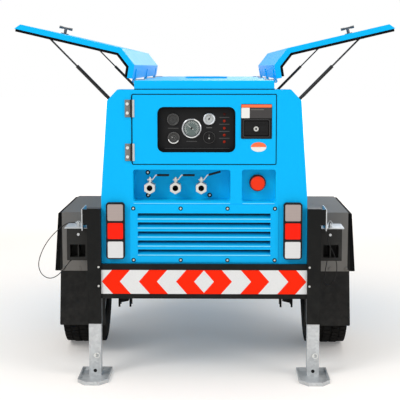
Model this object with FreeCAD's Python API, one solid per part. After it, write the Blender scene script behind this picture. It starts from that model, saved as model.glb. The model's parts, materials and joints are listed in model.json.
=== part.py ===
import FreeCAD, Part
import math
import os

# Towable diesel air compressor, millimetres.  X to the right seen from the rear, Y forward to the
# tow eye, Z up, origin on the ground under the middle of the machine.
V = FreeCAD.Vector
X, Y, Z = V(1, 0, 0), V(0, 1, 0), V(0, 0, 1)

# ---------------------------------------------------------------- driving dimensions
LENGTH = 3380.0          # rear edge of the jack feet to the tip of the tow eye
FIT = 0.3                # gap between a moving piece and what it lies beside
RUNNING = 0.05           # radial clearance of pins and shafts
SHEET = 3.0              # panel thickness

# Canopy cross-section, half widths and heights
BODY_LENGTH = 2160.0
BASE_Z = 509.0
WAIST_HALF, WAIST_Z = 457.0, 803.0
SHOULDER_HALF, SHOULDER_Z = 427.0, 1233.0
RIM_HALF, RIM_Z = 382.0, 1281.0
END_DEPTH = 110.0        # depth of the pressed end panels
JAMB = 46.0              # width of the flange round the inside of an end panel
ROOF_HALF, ROOF_SEAL, ROOF_RISE = 308.0, 4.0, 36.0

# Gull-wing doors
DOOR_START, DOOR_LENGTH = 80.0, 2000.0
DOOR_STAND_OFF = 36.5    # outer skin beyond the canopy outline
DOOR_DEPTH = 24.0        # depth of the door pan
DOOR_RETURN = 22.0       # flange turned in round the back of the pan
DOOR_EDGE = 336.0        # half width where the skin starts beside the roof
DOOR_TIP_Z = 766.0       # lower edge when closed
DOOR_OPEN = 99.1         # degrees
HINGE_HALF, HINGE_RISE = 324.0, -5.0    # pivot beside the roof's edge and below its top
HINGE_LENGTH, KNUCKLE_R, PIN_R = 80.0, 8.0, 3.0
HINGE_PLACES = (170.0, 1000.0, 1830.0)  # along the door
SEAL, SEAL_WIDTH, SEAL_INSET = 11.5, 14.0, 6.0

# Gas struts
STRUT_ROOT_HALF, STRUT_ROOT_Z = 396.0, 1206.0
STRUT_TOP_HALF, STRUT_TOP_DROP = 700.0, 22.39    # on the open door, and below its skin
CYLINDER_R, ROD_R, CYLINDER_LENGTH = 8.0, 4.0, 250.0
EYE_R, EYE_WIDTH, STUD_R = 11.0, 12.0, 5.0
STRUT_LANE = CYLINDER_R + 1.5            # middle of a strut from the end panel's jamb

# Rear panel openings: centre x, half width, bottom, top
CONTROL_DOOR = (0.0, 315.0, 955.0, 1258.5)
WINDOW = (-34.0, 168.0, 1010.0, 1202.0)
LATCH_PLATE = (230.0, 68.0, 1066.0, 1218.5)
VALVE_RECESS = (-99.5, 216.0, 787.0, 929.0)
STOP_RECESS = (242.0, 75.0, 784.5, 930.0)
LOUVRE_PANEL = (0.0, 330.0, 514.0, 774.0)
VALVE_DEPTH, STOP_DEPTH, PANEL_DEPTH = 120.0, 70.0, 26.0

# Chassis
RAIL_HALF, RAIL_WIDTH, RAIL_BOTTOM = 406.0, 50.0, 409.0
FRAME_BACK = -25.0       # rear face of the rear bars, measured from the rear panel
BAR_DEPTH = 60.0
BOARD_Z = (375.5, 483.5)
LOWER_BAR_Z = 354.0
POST, POST_WALL = 60.0, 2.7
POST_Z = (241.0, 756.0)
LEG, LEG_WALL = 54.0, 4.0
FOOT_LENGTH, FOOT_WIDTH, FOOT_RIM = 256.0, 136.0, 17.0
FOOT_SET_BACK = 49.0     # middle of a rear foot plate behind its leg
JACK_TRAVEL = 120.0

# Wheels, axle and springs
TRACK_HALF, TYRE_R, TYRE_WIDTH = 594.0, 318.0, 198.0
RIM_R = 190.0
AXLE_PLACE = 660.0       # forward of the rear panel
AXLE = 60.0
SPRING_HALF_SPAN, LEAF_WIDTH, LEAF, LEAVES = 380.0, 45.0, 7.0, 5
SPRING_CAMBER = 62.0
FENDER_PLACE, FENDER_LENGTH = 300.0, 680.0
FENDER_TOP, FENDER_BOTTOM = 701.0, 421.0
FENDER_INNER, FENDER_OUTER, FENDER_FLARE = 470.0, 674.0, 14.0
FLAP_BOTTOM = 158.0

# Drawbar
EYE_BORE, EYE_BODY = 40.0, 26.0
DRAWBAR = 70.0
NECK = 378.0             # tip of the tow eye ahead of the arms' nose
TUBE_LAP = 150.0         # tube of the tow eye between the arms
STAND_BACK = 60.0        # front stand behind the end of that tube

POST_PLACE = FRAME_BACK - 10.0 + POST / 2              # centre of the jack posts
POST_HALF = WAIST_HALF + 0.5 + POST / 2
FOOT_BACK = POST_PLACE - FOOT_SET_BACK - FOOT_LENGTH / 2
REAR = -LENGTH / 2 - FOOT_BACK                         # Y of the rear panel's outer face
ROOF_TOP = RIM_Z + ROOF_SEAL + ROOF_RISE
HINGE_Z = ROOF_TOP + HINGE_RISE
TIP_PLACE = LENGTH / 2 - REAR                          # tow eye tip, forward of the rear panel
SIDE_SLOPE = (WAIST_HALF - SHOULDER_HALF) / (SHOULDER_Z - WAIST_Z)


# ---------------------------------------------------------------- shape helpers
# Places along the machine are given forward of the rear panel and turned into Y by at().
def at(place):
    return REAR + place


def box(x0, x1, p0, p1, z0, z1):
    return Part.makeBox(x1 - x0, p1 - p0, z1 - z0, V(x0, at(p0), z0))


def rod(x, place, z, axis, radius, length):
    return Part.makeCylinder(radius, length, V(x, at(place), z), axis)


def pipe(x, place, z, axis, radius, bore, length):
    return rod(x, place, z, axis, radius, length).cut(rod(x, place, z, axis, bore, length))


def outline(points, radius=0.0):
    """Closed wire through the points with every corner rounded."""
    ends = []
    for i, corner in enumerate(points):
        back = (points[i - 1] - corner).normalize()
        ahead = (points[(i + 1) % len(points)] - corner).normalize()
        half = back.getAngle(ahead) / 2
        cut = radius / math.tan(half)
        middle = corner + (back + ahead).normalize() * (radius / math.sin(half) - radius)
        ends.append((corner + back * cut, middle, corner + ahead * cut))
    edges = []
    for i, (start, middle, end) in enumerate(ends):
        if radius > 0:
            edges.append(Part.Arc(start, middle, end).toShape())
        edges.append(Part.LineSegment(end, ends[(i + 1) % len(ends)][0]).toShape())
    return Part.Wire(edges)


def section_y(points, p0, p1, radius=0.0):
    """Outline of (x, z) points, run along Y."""
    wire = outline([V(x, at(p0), z) for x, z in points], radius)
    return Part.Face(wire).extrude(V(0, p1 - p0, 0))


def section_x(points, x0, x1, radius=0.0):
    """Outline of (place, z) points, run along X."""
    wire = outline([V(x0, at(p), z) for p, z in points], radius)
    return Part.Face(wire).extrude(V(x1 - x0, 0, 0))


def section_z(points, z0, z1, radius=0.0):
    """Outline of (x, place) points, run along Z."""
    wire = outline([V(x, at(p), z0) for x, p in points], radius)
    return Part.Face(wire).extrude(V(0, 0, z1 - z0))


def rectangle(u0, u1, v0, v1):
    return [(u0, v0), (u1, v0), (u1, v1), (u0, v1)]


def tube_y(x0, x1, p0, p1, z0, z1, wall):
    outer = box(x0, x1, p0, p1, z0, z1)
    return outer.cut(box(x0 + wall, x1 - wall, p0, p1, z0 + wall, z1 - wall))


def tube_x(x0, x1, p0, p1, z0, z1, wall):
    outer = box(x0, x1, p0, p1, z0, z1)
    return outer.cut(box(x0, x1, p0 + wall, p1 - wall, z0 + wall, z1 - wall))


def tube_z(x, place, side, wall, z0, z1):
    half, inner = side / 2, side / 2 - wall
    outer = box(x - half, x + half, place - half, place + half, z0, z1)
    return outer.cut(box(x - inner, x + inner, place - inner, place + inner, z0, z1))


def grown(points, amount):
    """Counter-clockwise outline with each side moved outward."""
    result = []
    for i, (u, v) in enumerate(points):
        (u0, v0), (u1, v1) = points[i - 1], points[(i + 1) % len(points)]
        a, b = math.hypot(u - u0, v - v0), math.hypot(u1 - u, v1 - v)
        n = ((v - v0) / a, (u0 - u) / a)
        m = ((v1 - v) / b, (u - u1) / b)
        share = amount / (1 + n[0] * m[0] + n[1] * m[1])
        result.append((u + (n[0] + m[0]) * share, v + (n[1] + m[1]) * share))
    return result


def strip(points, thickness):
    """Outline of a bent sheet whose left side follows the points."""
    inner = []
    for i, (u, v) in enumerate(points):
        before = points[i - 1] if i else (2 * u - points[1][0], 2 * v - points[1][1])
        after = points[i + 1] if i + 1 < len(points) else (2 * u - before[0], 2 * v - before[1])
        a, b = math.hypot(u - before[0], v - before[1]), math.hypot(after[0] - u, after[1] - v)
        n = ((v - before[1]) / a, (before[0] - u) / a)
        m = ((after[1] - v) / b, (u - after[0]) / b)
        share = thickness / (1 + n[0] * m[0] + n[1] * m[1])
        inner.append((u + (n[0] + m[0]) * share, v + (n[1] + m[1]) * share))
    return list(points) + inner[::-1]


def revolved(points, base, axis, across):
    """Ring of (along, radius) points turned about an axis through base."""
    wire = Part.makePolygon([base + axis * u + across * r for u, r in points + points[:1]])
    return Part.Face(wire).revolve(base, axis, 360)


def mirrored(shape):
    return shape.mirror(V(0, 0, 0), X)


def fused(shapes):
    return shapes[0].multiFuse(shapes[1:]).removeSplitter()


def save(name, *shapes):
    solids = [solid for shape in shapes for solid in shape.Solids]
    shape = solids[0] if len(solids) == 1 else Part.makeCompound(solids)
    if not shape.isValid():
        print("not valid:", name)
    shape.exportStep("parts/" + name + ".step")
    print("%-24s %2d solids %10.0f mm3" % (name, len(solids), shape.Volume))


# ---------------------------------------------------------------- chassis
RAIL_FRONT = BODY_LENGTH + 20.0
CROSS = 50.0
COOLER_DEPTH = 400.0     # cooler, fan gap and duct behind the end of the body
RADIATOR_PLACE = BODY_LENGTH - COOLER_DEPTH
CROSS_PLACES = (250.0, AXLE_PLACE + 500.0, RADIATOR_PLACE - 110.0, RAIL_FRONT - CROSS)
RAIL_INNER, RAIL_OUTER = RAIL_HALF - RAIL_WIDTH / 2, RAIL_HALF + RAIL_WIDTH / 2
BAR_FRONT = FRAME_BACK + BAR_DEPTH
BAR_HALF = POST_HALF - POST / 2
BOARD = 3.0
SPRING_EYE_R, SPRING_PIN_R, HANGER = 15.0, 6.0, 6.0
WHEEL_Z = TYRE_R
AXLE_BOTTOM = WHEEL_Z - AXLE / 2
SPRING_R = (SPRING_HALF_SPAN ** 2 + SPRING_CAMBER ** 2) / (2 * SPRING_CAMBER)
SEAT_DROP = AXLE ** 2 / (8 * SPRING_R)        # the curved leaf meets the flat axle at its edges
EYE_Z = AXLE_BOTTOM + SPRING_CAMBER + SPRING_EYE_R


def hanger(x, place):
    """Two cheeks and a pin that carry one spring eye under a rail."""
    gap = LEAF_WIDTH / 2 + FIT
    shape = [(place - 24, RAIL_BOTTOM), (place - 20, EYE_Z - 20), (place + 20, EYE_Z - 20),
             (place + 24, RAIL_BOTTOM)]
    cheeks = [section_x(shape, x - gap - HANGER, x - gap), section_x(shape, x + gap, x + gap + HANGER)]
    pin = rod(x - gap - HANGER - 8, place, EYE_Z, X, SPRING_PIN_R, 2 * (gap + HANGER + 8))
    return fused(cheeks + [pin])


def chassis_rails():
    pieces = []
    for side in (-1, 1):
        x = side * RAIL_HALF
        half = RAIL_WIDTH / 2
        pieces.append(tube_y(x - half, x + half, BAR_FRONT, RAIL_FRONT, RAIL_BOTTOM, BASE_Z, 4.0))
        for end in (-1, 1):
            pieces.append(hanger(x, AXLE_PLACE + end * SPRING_HALF_SPAN))
    save("chassis_rails", *pieces)


def cross_members():
    """Bars between the rails and the flat outriggers that carry the fenders."""
    pieces = []
    for place in CROSS_PLACES:
        pieces.append(tube_x(-RAIL_INNER, RAIL_INNER, place, place + CROSS, BASE_Z - CROSS, BASE_Z, 4.0))
    for side in (-1, 1):
        for place in (FENDER_PLACE + 2 * SHEET + FLAP, FENDER_PLACE + FENDER_LENGTH - SHEET - 8.0):
            inner, outer = sorted((side * RAIL_OUTER, side * (FENDER_OUTER - 12)))
            pieces.append(box(inner, outer, place - SHEET, place + 8 - SHEET, 425, 461))
    save("cross_members", *(pieces + rear_frame()))


def rear_frame():
    """Upper and lower rear bars with the uprights behind the board."""
    upper = tube_x(-BAR_HALF, BAR_HALF, FRAME_BACK, BAR_FRONT, BOARD_Z[1], BASE_Z, 4.0)
    lower = tube_x(-BAR_HALF, BAR_HALF, FRAME_BACK, BAR_FRONT - 20, LOWER_BAR_Z, BOARD_Z[0], 3.0)
    uprights = [box(x - 25, x + 25, FRAME_BACK + BOARD, BAR_FRONT - 20, *BOARD_Z)
                for x in (-RAIL_HALF, 0, RAIL_HALF)]
    return [upper, lower] + uprights


def chevron_board():
    shape = rectangle(-BAR_HALF + FIT, BAR_HALF - FIT, BOARD_Z[0] + FIT, BOARD_Z[1] - FIT)
    save("chevron_board", section_y(shape, FRAME_BACK, FRAME_BACK + BOARD, 2.0))


POST_BRACKET = 70.0


def jack_post(side):
    """Square tube beside the rear frame with the plate that carries the chock bracket."""
    x = side * POST_HALF
    post = tube_z(x, POST_PLACE, POST, POST_WALL, *POST_Z)
    inner, outer = sorted((x + side * POST / 2, x + side * (POST / 2 + 20)))
    ear = box(inner, outer, POST_PLACE - POST / 2, POST_PLACE - POST / 2 + 6,
              POST_Z[1] - POST_BRACKET, POST_Z[1])
    cap = box(x - POST / 2, x + POST / 2, POST_PLACE - POST / 2, POST_PLACE + POST / 2,
              POST_Z[1], POST_Z[1] + SHEET)
    bolts = [rod(x - side * (POST / 2 - 10), POST_PLACE - POST / 2, z, -Y, 5.0, 5.0)
             for z in (BOARD_Z[1] + 15, BOARD_Z[0] + 38)]
    return fused([post, ear, cap] + bolts)


LEG_TOP = POST_Z[1] - JACK_TRAVEL - 20.0
LEG_PIN_Z, LEG_HOLE_Z = 98.0, 27.0
FOOT_CLIP = (36.0, 50.0)     # clipped rear corners of a foot plate, across and along


def jack_foot(x, place):
    """Pressed foot plate with clipped rear corners and an upturned rim."""
    half, length = FOOT_WIDTH / 2, FOOT_LENGTH / 2
    across, along = FOOT_CLIP
    shape = [(x - half + across, place - length), (x + half - across, place - length),
             (x + half, place - length + along), (x + half, place + length),
             (x - half, place + length), (x - half, place - length + along)]
    pan = section_z(shape, 0, FOOT_RIM)
    return pan.cut(section_z(grown(shape, -5.0), 5.0, FOOT_RIM))


def jack_leg(x, place, top):
    """Square leg on its foot plate, with the holes for its locking pin and the pin's ring."""
    leg = tube_z(x, place, LEG, LEG_WALL, 5.0, top)
    leg = leg.cut(rod(x, place - LEG / 2, LEG_HOLE_Z, Y, 7.0, LEG))
    leg = leg.cut(rod(x, place - LEG / 2, LEG_PIN_Z, Y, 6.0, LEG))
    pin = rod(x, place - LEG / 2 - 10, LEG_PIN_Z, Y, 6.0, LEG + 20)
    ring = Part.makeTorus(11.0, 2.0, V(x + 9, at(place) - LEG / 2 - 7, LEG_PIN_Z), Y)
    return fused([leg, jack_foot(x, place - FOOT_SET_BACK), pin, ring])


def jacks():
    posts = []
    for side, name in ((-1, "left"), (1, "right")):
        posts.append(jack_post(side))
        save(name + "_jack_leg", jack_leg(side * POST_HALF, POST_PLACE, LEG_TOP))
    save("jack_posts", *posts)


# ---------------------------------------------------------------- axle, springs and wheels
HUB_R, HUB_HALF, SPINDLE_R = 48.0, 55.0, 17.5
AXLE_HALF = TRACK_HALF - HUB_HALF - 14.0
CLAMP, U_BOLT_R, U_BOLT_TAIL = 10.0, 5.0, 64.0


def axle_beam():
    beam = tube_x(-AXLE_HALF, AXLE_HALF, AXLE_PLACE - AXLE / 2, AXLE_PLACE + AXLE / 2,
                  AXLE_BOTTOM, AXLE_BOTTOM + AXLE, 6.0)
    ends = []
    for side in (-1, 1):
        start = V(side * (AXLE_HALF - 60), at(AXLE_PLACE), WHEEL_Z)
        length = TRACK_HALF + HUB_HALF - 12 - AXLE_HALF + 60
        plug = box(*sorted((side * (AXLE_HALF - 60), side * AXLE_HALF)), AXLE_PLACE - AXLE / 2 + 5,
                   AXLE_PLACE + AXLE / 2 - 5, AXLE_BOTTOM + 5, AXLE_BOTTOM + AXLE - 5)
        ends += [Part.makeCylinder(SPINDLE_R, length, start, X * side), plug]
    save("axle_beam", fused([beam] + ends))


def leaf(x, number):
    """One leaf as an arc strip; the top leaf carries the rolled eyes."""
    centre = AXLE_BOTTOM + SPRING_R - SEAT_DROP
    inner = SPRING_R + number * LEAF
    reach = SPRING_HALF_SPAN * (1 - 0.17 * number)
    angle = math.asin(reach / SPRING_R)

    def point(radius, turn):
        return V(x - LEAF_WIDTH / 2, at(AXLE_PLACE) + radius * math.sin(turn),
                 centre - radius * math.cos(turn))

    outer = inner + LEAF
    edges = [Part.Arc(point(inner, -angle), point(inner, 0), point(inner, angle)).toShape(),
             Part.LineSegment(point(inner, angle), point(outer, angle)).toShape(),
             Part.Arc(point(outer, angle), point(outer, 0), point(outer, -angle)).toShape(),
             Part.LineSegment(point(outer, -angle), point(inner, -angle)).toShape()]
    blade = Part.Face(Part.Wire(edges)).extrude(V(LEAF_WIDTH, 0, 0))
    if number:
        return blade
    eyes = [rod(x - LEAF_WIDTH / 2, AXLE_PLACE + end * SPRING_HALF_SPAN, EYE_Z, X, SPRING_EYE_R, LEAF_WIDTH)
            for end in (-1, 1)]
    bores = [rod(x - LEAF_WIDTH / 2, AXLE_PLACE + end * SPRING_HALF_SPAN, EYE_Z, X, SPRING_PIN_R + RUNNING,
                 LEAF_WIDTH) for end in (-1, 1)]
    return fused([blade] + eyes).cut(Part.makeCompound(bores))


def u_bolt(x, place):
    """Round-bar bolt over the axle, its two legs down through the clamp plate."""
    half = LEAF_WIDTH / 2 + U_BOLT_R + FIT
    bottom, top = AXLE_BOTTOM - LEAVES * LEAF - CLAMP - U_BOLT_TAIL, AXLE_BOTTOM + AXLE + U_BOLT_R
    legs = [rod(x + end * half, place, bottom, Z, U_BOLT_R, top - bottom) for end in (-1, 1)]
    bend = [Part.makeSphere(U_BOLT_R, V(x + end * half, at(place), top)) for end in (-1, 1)]
    nut = bottom + U_BOLT_TAIL - SEAT_DROP - FIT - 12.0
    nuts = [rod(x + end * half, place, nut, Z, 9.0, 12.0) for end in (-1, 1)]
    return fused(legs + bend + nuts + [rod(x - half, place, top, X, U_BOLT_R, 2 * half)])


def damper_bracket(side, top):
    """Stepped lug under the clamp plate for the foot of a damper."""
    shape = [(388.0, top - 37), (428.0, top - 46), (437.0, top - 26), (440.0, top), (388.0, top)]
    lug = section_y(shape, AXLE_PLACE - 20, AXLE_PLACE + 20)
    return lug if side > 0 else mirrored(lug)


def leaf_springs():
    pieces = []
    spread = AXLE / 2 + U_BOLT_R + FIT
    low = AXLE_BOTTOM - LEAVES * LEAF - SEAT_DROP
    for side in (-1, 1):
        x = side * RAIL_HALF
        pieces += [leaf(x, number) for number in range(LEAVES)]
        plate = box(x - LEAF_WIDTH / 2 - 16, x + LEAF_WIDTH / 2 + 16, AXLE_PLACE - spread - 14,
                    AXLE_PLACE + spread + 14, low - CLAMP, low)
        bolts = [u_bolt(x, AXLE_PLACE + end * spread) for end in (-1, 1)]
        pieces += [plate.fuse(damper_bracket(side, low - CLAMP)).cut(Part.makeCompound(bolts))] + bolts
    save("leaf_springs", *pieces)


RIM_WALL, RIM_HALF_WIDTH, BEAD_R = 4.0, 78.0, RIM_R - 12.0
NUT_CIRCLE, NUT_R, NUTS = 57.0, 10.0, 5


def wheel_rim(side):
    """Rolled rim with a dished centre, hub, dust cap and nuts."""
    centre = V(side * TRACK_HALF, at(AXLE_PLACE), WHEEL_Z)
    out = X * side
    well = BEAD_R - 26
    profile = [(-RIM_HALF_WIDTH, RIM_R), (-RIM_HALF_WIDTH + RIM_WALL, RIM_R),
               (-RIM_HALF_WIDTH + RIM_WALL + 2, BEAD_R), (-38, BEAD_R - 2), (-28, well), (28, well),
               (38, BEAD_R - 2), (RIM_HALF_WIDTH - RIM_WALL - 2, BEAD_R), (RIM_HALF_WIDTH - RIM_WALL, RIM_R),
               (RIM_HALF_WIDTH, RIM_R), (RIM_HALF_WIDTH, BEAD_R - RIM_WALL), (40, BEAD_R - RIM_WALL - 2),
               (30, well - RIM_WALL), (-30, well - RIM_WALL), (-40, BEAD_R - RIM_WALL - 2),
               (-RIM_HALF_WIDTH, BEAD_R - RIM_WALL)]
    band = revolved(profile, centre, out, Z)
    dish = revolved([(4, SPINDLE_R + 3), (10, SPINDLE_R + 3), (10, 80), (24, 105), (24, well - 2),
                     (18, well - 2), (18, 108), (4, 84)], centre, out, Z)
    for turn in range(8):
        angle = math.radians(45 * turn)
        start = centre + Y * 122 * math.cos(angle) + Z * 122 * math.sin(angle)
        dish = dish.cut(Part.makeCylinder(14, 40, start, out))
    hub = Part.makeCylinder(HUB_R, HUB_HALF - 5, centre - out * (HUB_HALF - 15), out)
    cap = Part.makeCylinder(30, 50, centre + out * 8, out)
    cap = cap.makeChamfer(5.0, [edge for edge in cap.Edges if len(edge.Vertexes) == 1])
    hub = fused([hub, cap]).cut(Part.makeCylinder(SPINDLE_R + RUNNING, HUB_HALF * 2 - 9,
                                                  centre - out * HUB_HALF, out))
    nuts = []
    for turn in range(NUTS):
        angle = 2 * math.pi * turn / NUTS
        start = centre + Y * NUT_CIRCLE * math.cos(angle) + Z * NUT_CIRCLE * math.sin(angle) + out * 10
        nuts.append(Part.makeCylinder(NUT_R, 16, start, out))
    return fused([band, dish, hub] + nuts)


def tyre(side):
    """Hollow tyre section with rounded shoulders and three tread grooves."""
    centre = V(side * TRACK_HALF, at(AXLE_PLACE), WHEEL_Z)
    half, wall = TYRE_WIDTH / 2, 13.0
    seat = RIM_HALF_WIDTH - RIM_WALL - 2
    profile = [(seat - 14, BEAD_R + FIT), (seat - FIT, BEAD_R + FIT), (seat - FIT, RIM_R + 2),
               (RIM_HALF_WIDTH + 1, RIM_R + 5), (half - 9, RIM_R + 18), (half, RIM_R + 52),
               (half - 2, TYRE_R - 44), (half - 12, TYRE_R - 20), (half - 32, TYRE_R - 5), (62, TYRE_R),
               (50, TYRE_R), (48, TYRE_R - 8), (42, TYRE_R - 8), (40, TYRE_R), (5, TYRE_R), (3, TYRE_R - 8)]
    inside = [(half - wall - 30, TYRE_R - 5 - wall), (half - wall - 4, RIM_R + 50), (seat - 14, RIM_R + 10)]
    right = profile + [(0, TYRE_R - 8)]
    outer = right + [(-u, r) for u, r in right[-2::-1]]
    cavity = [(-u, r) for u, r in inside[::-1]]
    points = outer + cavity + inside
    return revolved(points, centre, X * side, Z)


def wheels():
    for side, name in ((-1, "left"), (1, "right")):
        save(name + "_wheel_rim", wheel_rim(side))
        save(name + "_tyre", tyre(side))


# ---------------------------------------------------------------- fenders, flaps and chocks
FLAP = 5.0
LIP = 34.0


def fender(side):
    """Folded sheet over one wheel: back, top and front with a lip round the outer edge."""
    back, front = FENDER_PLACE, FENDER_PLACE + FENDER_LENGTH
    face = [(FENDER_INNER, FENDER_BOTTOM), (FENDER_OUTER + FENDER_FLARE, FENDER_BOTTOM),
            (FENDER_OUTER, FENDER_TOP), (FENDER_INNER, FENDER_TOP)]
    hollow = [(FENDER_INNER - 1, FENDER_BOTTOM - 1), (FENDER_OUTER + FENDER_FLARE - SHEET, FENDER_BOTTOM - 1),
              (FENDER_OUTER - SHEET, FENDER_TOP - SHEET), (FENDER_INNER - 1, FENDER_TOP - SHEET)]
    shell = section_y(face, back, front).cut(section_y(hollow, back + SHEET, front - SHEET))
    window = section_x([(back + LIP, FENDER_BOTTOM - 1), (back + LIP, FENDER_TOP - LIP - 40),
                        (back + LIP + 60, FENDER_TOP - LIP), (front - LIP - 60, FENDER_TOP - LIP),
                        (front - LIP, FENDER_TOP - LIP - 40), (front - LIP, FENDER_BOTTOM - 1)],
                       FENDER_OUTER - 30, FENDER_OUTER + 30)
    shape = shell.cut(window)
    bolts = [rod(x, back, FENDER_BOTTOM + 14, -Y, 7.0, 5.0) for x in (593.0, 668.0)]
    shape = fused([shape] + bolts)
    return shape if side > 0 else mirrored(shape)


def mudflap(side):
    shape = [(FENDER_INNER + 4, FLAP_BOTTOM), (FENDER_OUTER + FENDER_FLARE + 2, FLAP_BOTTOM),
             (FENDER_OUTER + 8, FENDER_BOTTOM + 44), (FENDER_INNER + 4, FENDER_BOTTOM + 44)]
    flap = section_y(shape, FENDER_PLACE + SHEET, FENDER_PLACE + SHEET + FLAP, 6.0)
    return flap if side > 0 else mirrored(flap)


CHOCK_BACK, CHOCK_LENGTH, CHOCK_WIDTH = 30.0, 235.0, 97.0
CHOCK_Z, CHOCK_HEIGHT = 517.0, 144.0
CHOCK_INNER = 519.0
BRACKET = 4.0
PIN_PLACE = 78.0


def wheel_chock(side):
    """Moulded wedge: tall back with a pocket, concave ribbed ramp towards the front."""
    back, nose, top = CHOCK_BACK, CHOCK_BACK + CHOCK_LENGTH, CHOCK_Z + CHOCK_HEIGHT
    outer = [V(CHOCK_INNER, at(p), z) for p, z in ((back, CHOCK_Z), (nose, CHOCK_Z), (nose, CHOCK_Z + 18),
                                                   (back + 112, CHOCK_Z + 52), (back + 88, top), (back, top))]
    edges = [Part.LineSegment(outer[0], outer[1]).toShape(), Part.LineSegment(outer[1], outer[2]).toShape(),
             Part.Arc(outer[2], outer[3], outer[4]).toShape(), Part.LineSegment(outer[4], outer[5]).toShape(),
             Part.LineSegment(outer[5], outer[0]).toShape()]
    body = Part.Face(Part.Wire(edges)).extrude(V(CHOCK_WIDTH, 0, 0))
    pocket = box(CHOCK_INNER + 14, CHOCK_INNER + CHOCK_WIDTH - 14, back - 1, back + 70,
                 CHOCK_Z + 14, CHOCK_Z + 72)
    hole = rod(CHOCK_INNER + CHOCK_WIDTH / 2, PIN_PLACE, CHOCK_Z + 84, Z, 6 + RUNNING, CHOCK_HEIGHT)
    body = body.cut(pocket).cut(hole)
    ribs = [box(CHOCK_INNER + 44, CHOCK_INNER + 50, back + 10, back + 70, CHOCK_Z + 14, CHOCK_Z + 72)]
    shape = fused([body] + ribs)
    return shape if side > 0 else mirrored(shape)


def chock_bracket(side):
    """Galvanised shelf above the chock, its upright on the post's ear, and the headed pin."""
    top = CHOCK_Z + CHOCK_HEIGHT
    shelf = box(CHOCK_INNER, CHOCK_INNER + CHOCK_WIDTH + 10, POST_PLACE + POST / 2 + 6, CHOCK_BACK + 150,
                top, top + BRACKET)
    ear = POST_HALF + POST / 2 + 20
    upright = box(ear, ear + BRACKET, POST_PLACE - POST / 2, CHOCK_BACK + 100, top, POST_Z[1])
    x = CHOCK_INNER + CHOCK_WIDTH / 2
    pin = rod(x, PIN_PLACE, CHOCK_Z + 90, Z, 6.0, CHOCK_HEIGHT - 90 + BRACKET + 14)
    head = rod(x, PIN_PLACE, top + BRACKET, Z, 10.0, 4.0)
    clip = Part.makeTorus(9.0, 1.6, V(x, at(PIN_PLACE), top + BRACKET + 14), Y)
    bolt = rod(x - 4, CHOCK_BACK, top - 26, -Y, 6.0, 5.0)
    bracket = fused([shelf, upright, pin, head, clip])
    pieces = [bracket, bolt]
    return pieces if side > 0 else [mirrored(piece) for piece in pieces]


# Wire lanyards: (x, place, z) of each point, chosen along the hanging route.
LANYARD_R, FERRULE_R = 2.0, 4.0
LEFT_LANYARD = [(-582, 78, 681), (-608, 74, 684), (-640, 64, 668), (-678, 50, 634), (-712, 38, 592),
                (-736, 27, 541), (-745, 20, 498), (-735, 18, 462), (-711, 20, 439), (-684, 26, 435),
                (-658, 36, 448), (-636, 48, 471), (-618, 58, 494), (-606, 63, 509)]
RIGHT_LANYARD = [(566, 64, 692), (563, 40, 696), (558, 18, 682), (553, 9, 655), (548, 7, 622),
                 (558, 8, 590), (576, 10, 561), (588, 12, 526), (594, 13, 493), (592, 15, 461),
                 (583, 20, 432), (569, 31, 409), (553, 49, 401), (544, 68, 413), (545, 83, 439),
                 (551, 90, 473), (557, 93, 509)]


def lanyard(route, name):
    """Round wire along straight runs joined by tangent arcs."""
    points = [V(x, at(p), z) for x, p, z in route]
    edges, start, length, radii = [], points[0], 0.0, []
    for before, corner, after in zip(points, points[1:], points[2:]):
        a, b = before - corner, after - corner
        half = a.getAngle(b) / 2
        cut = 0.45 * min(a.Length, b.Length)
        radius = cut * math.tan(half)
        radii.append(radius)
        a.normalize()
        b.normalize()
        first, last = corner + a * cut, corner + b * cut
        middle = corner + (a + b).normalize() * (radius / math.sin(half) - radius)
        edges += [Part.LineSegment(start, first).toShape(), Part.Arc(first, middle, last).toShape()]
        start = last
    edges.append(Part.LineSegment(start, points[-1]).toShape())
    path = Part.Wire(edges)
    circle = Part.Wire(Part.makeCircle(LANYARD_R, points[0], points[1] - points[0]))
    wire = path.makePipeShell([circle], True, False)
    section = math.pi * LANYARD_R ** 2
    print("%s: length %.1f, volume over section times length %.4f, least radius %.1f"
          % (name, path.Length, wire.Volume / (section * path.Length), min(radii)))
    print("  radii", [round(radius) for radius in radii])
    save(name, wire)


def ferrule(end, after, length):
    """Crimped sleeve that takes the end of a lanyard and points back along its last run."""
    start, toward = V(end[0], at(end[1]), end[2]), V(after[0], at(after[1]), after[2])
    direction = (start - toward).normalize()
    return Part.makeCylinder(FERRULE_R, length, start, direction)


def running_gear():
    axle_beam()
    leaf_springs()
    wheels()
    save("fenders", fender(-1), fender(1))
    save("mudflaps", mudflap(-1), mudflap(1))
    chocks, brackets = [], []
    for side, route, name in ((-1, LEFT_LANYARD, "left"), (1, RIGHT_LANYARD, "right")):
        lanyard(route, name + "_lanyard")
        chocks.append(wheel_chock(side).fuse(ferrule(route[-1], route[-2], 14.0)))
        bracket, bolt = chock_bracket(side)
        brackets += [bracket.fuse(ferrule(route[0], route[1], 16.0)), bolt]
    save("wheel_chocks", *chocks)
    save("chock_brackets", *brackets)


# ---------------------------------------------------------------- drawbar
EYE_OUTER = 46.0
DRAWBAR_Z = BASE_Z - CROSS / 2 - DRAWBAR / 2
NOSE_PLACE = TIP_PLACE - NECK
STAND_PLACE = NOSE_PLACE - TUBE_LAP - STAND_BACK


def drawbar_arms():
    """Two square tubes that run together ahead of the front cross member."""
    wide, narrow = RAIL_HALF - 30.0, DRAWBAR / 2
    pieces = []
    for side in (-1, 1):
        shape = [(side * (wide - DRAWBAR / 2), RAIL_FRONT), (side * (wide + DRAWBAR / 2), RAIL_FRONT),
                 (side * (narrow + DRAWBAR), NOSE_PLACE), (side * narrow, NOSE_PLACE)]
        pieces.append(section_z(shape, DRAWBAR_Z, DRAWBAR_Z + DRAWBAR))
    return pieces


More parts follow.
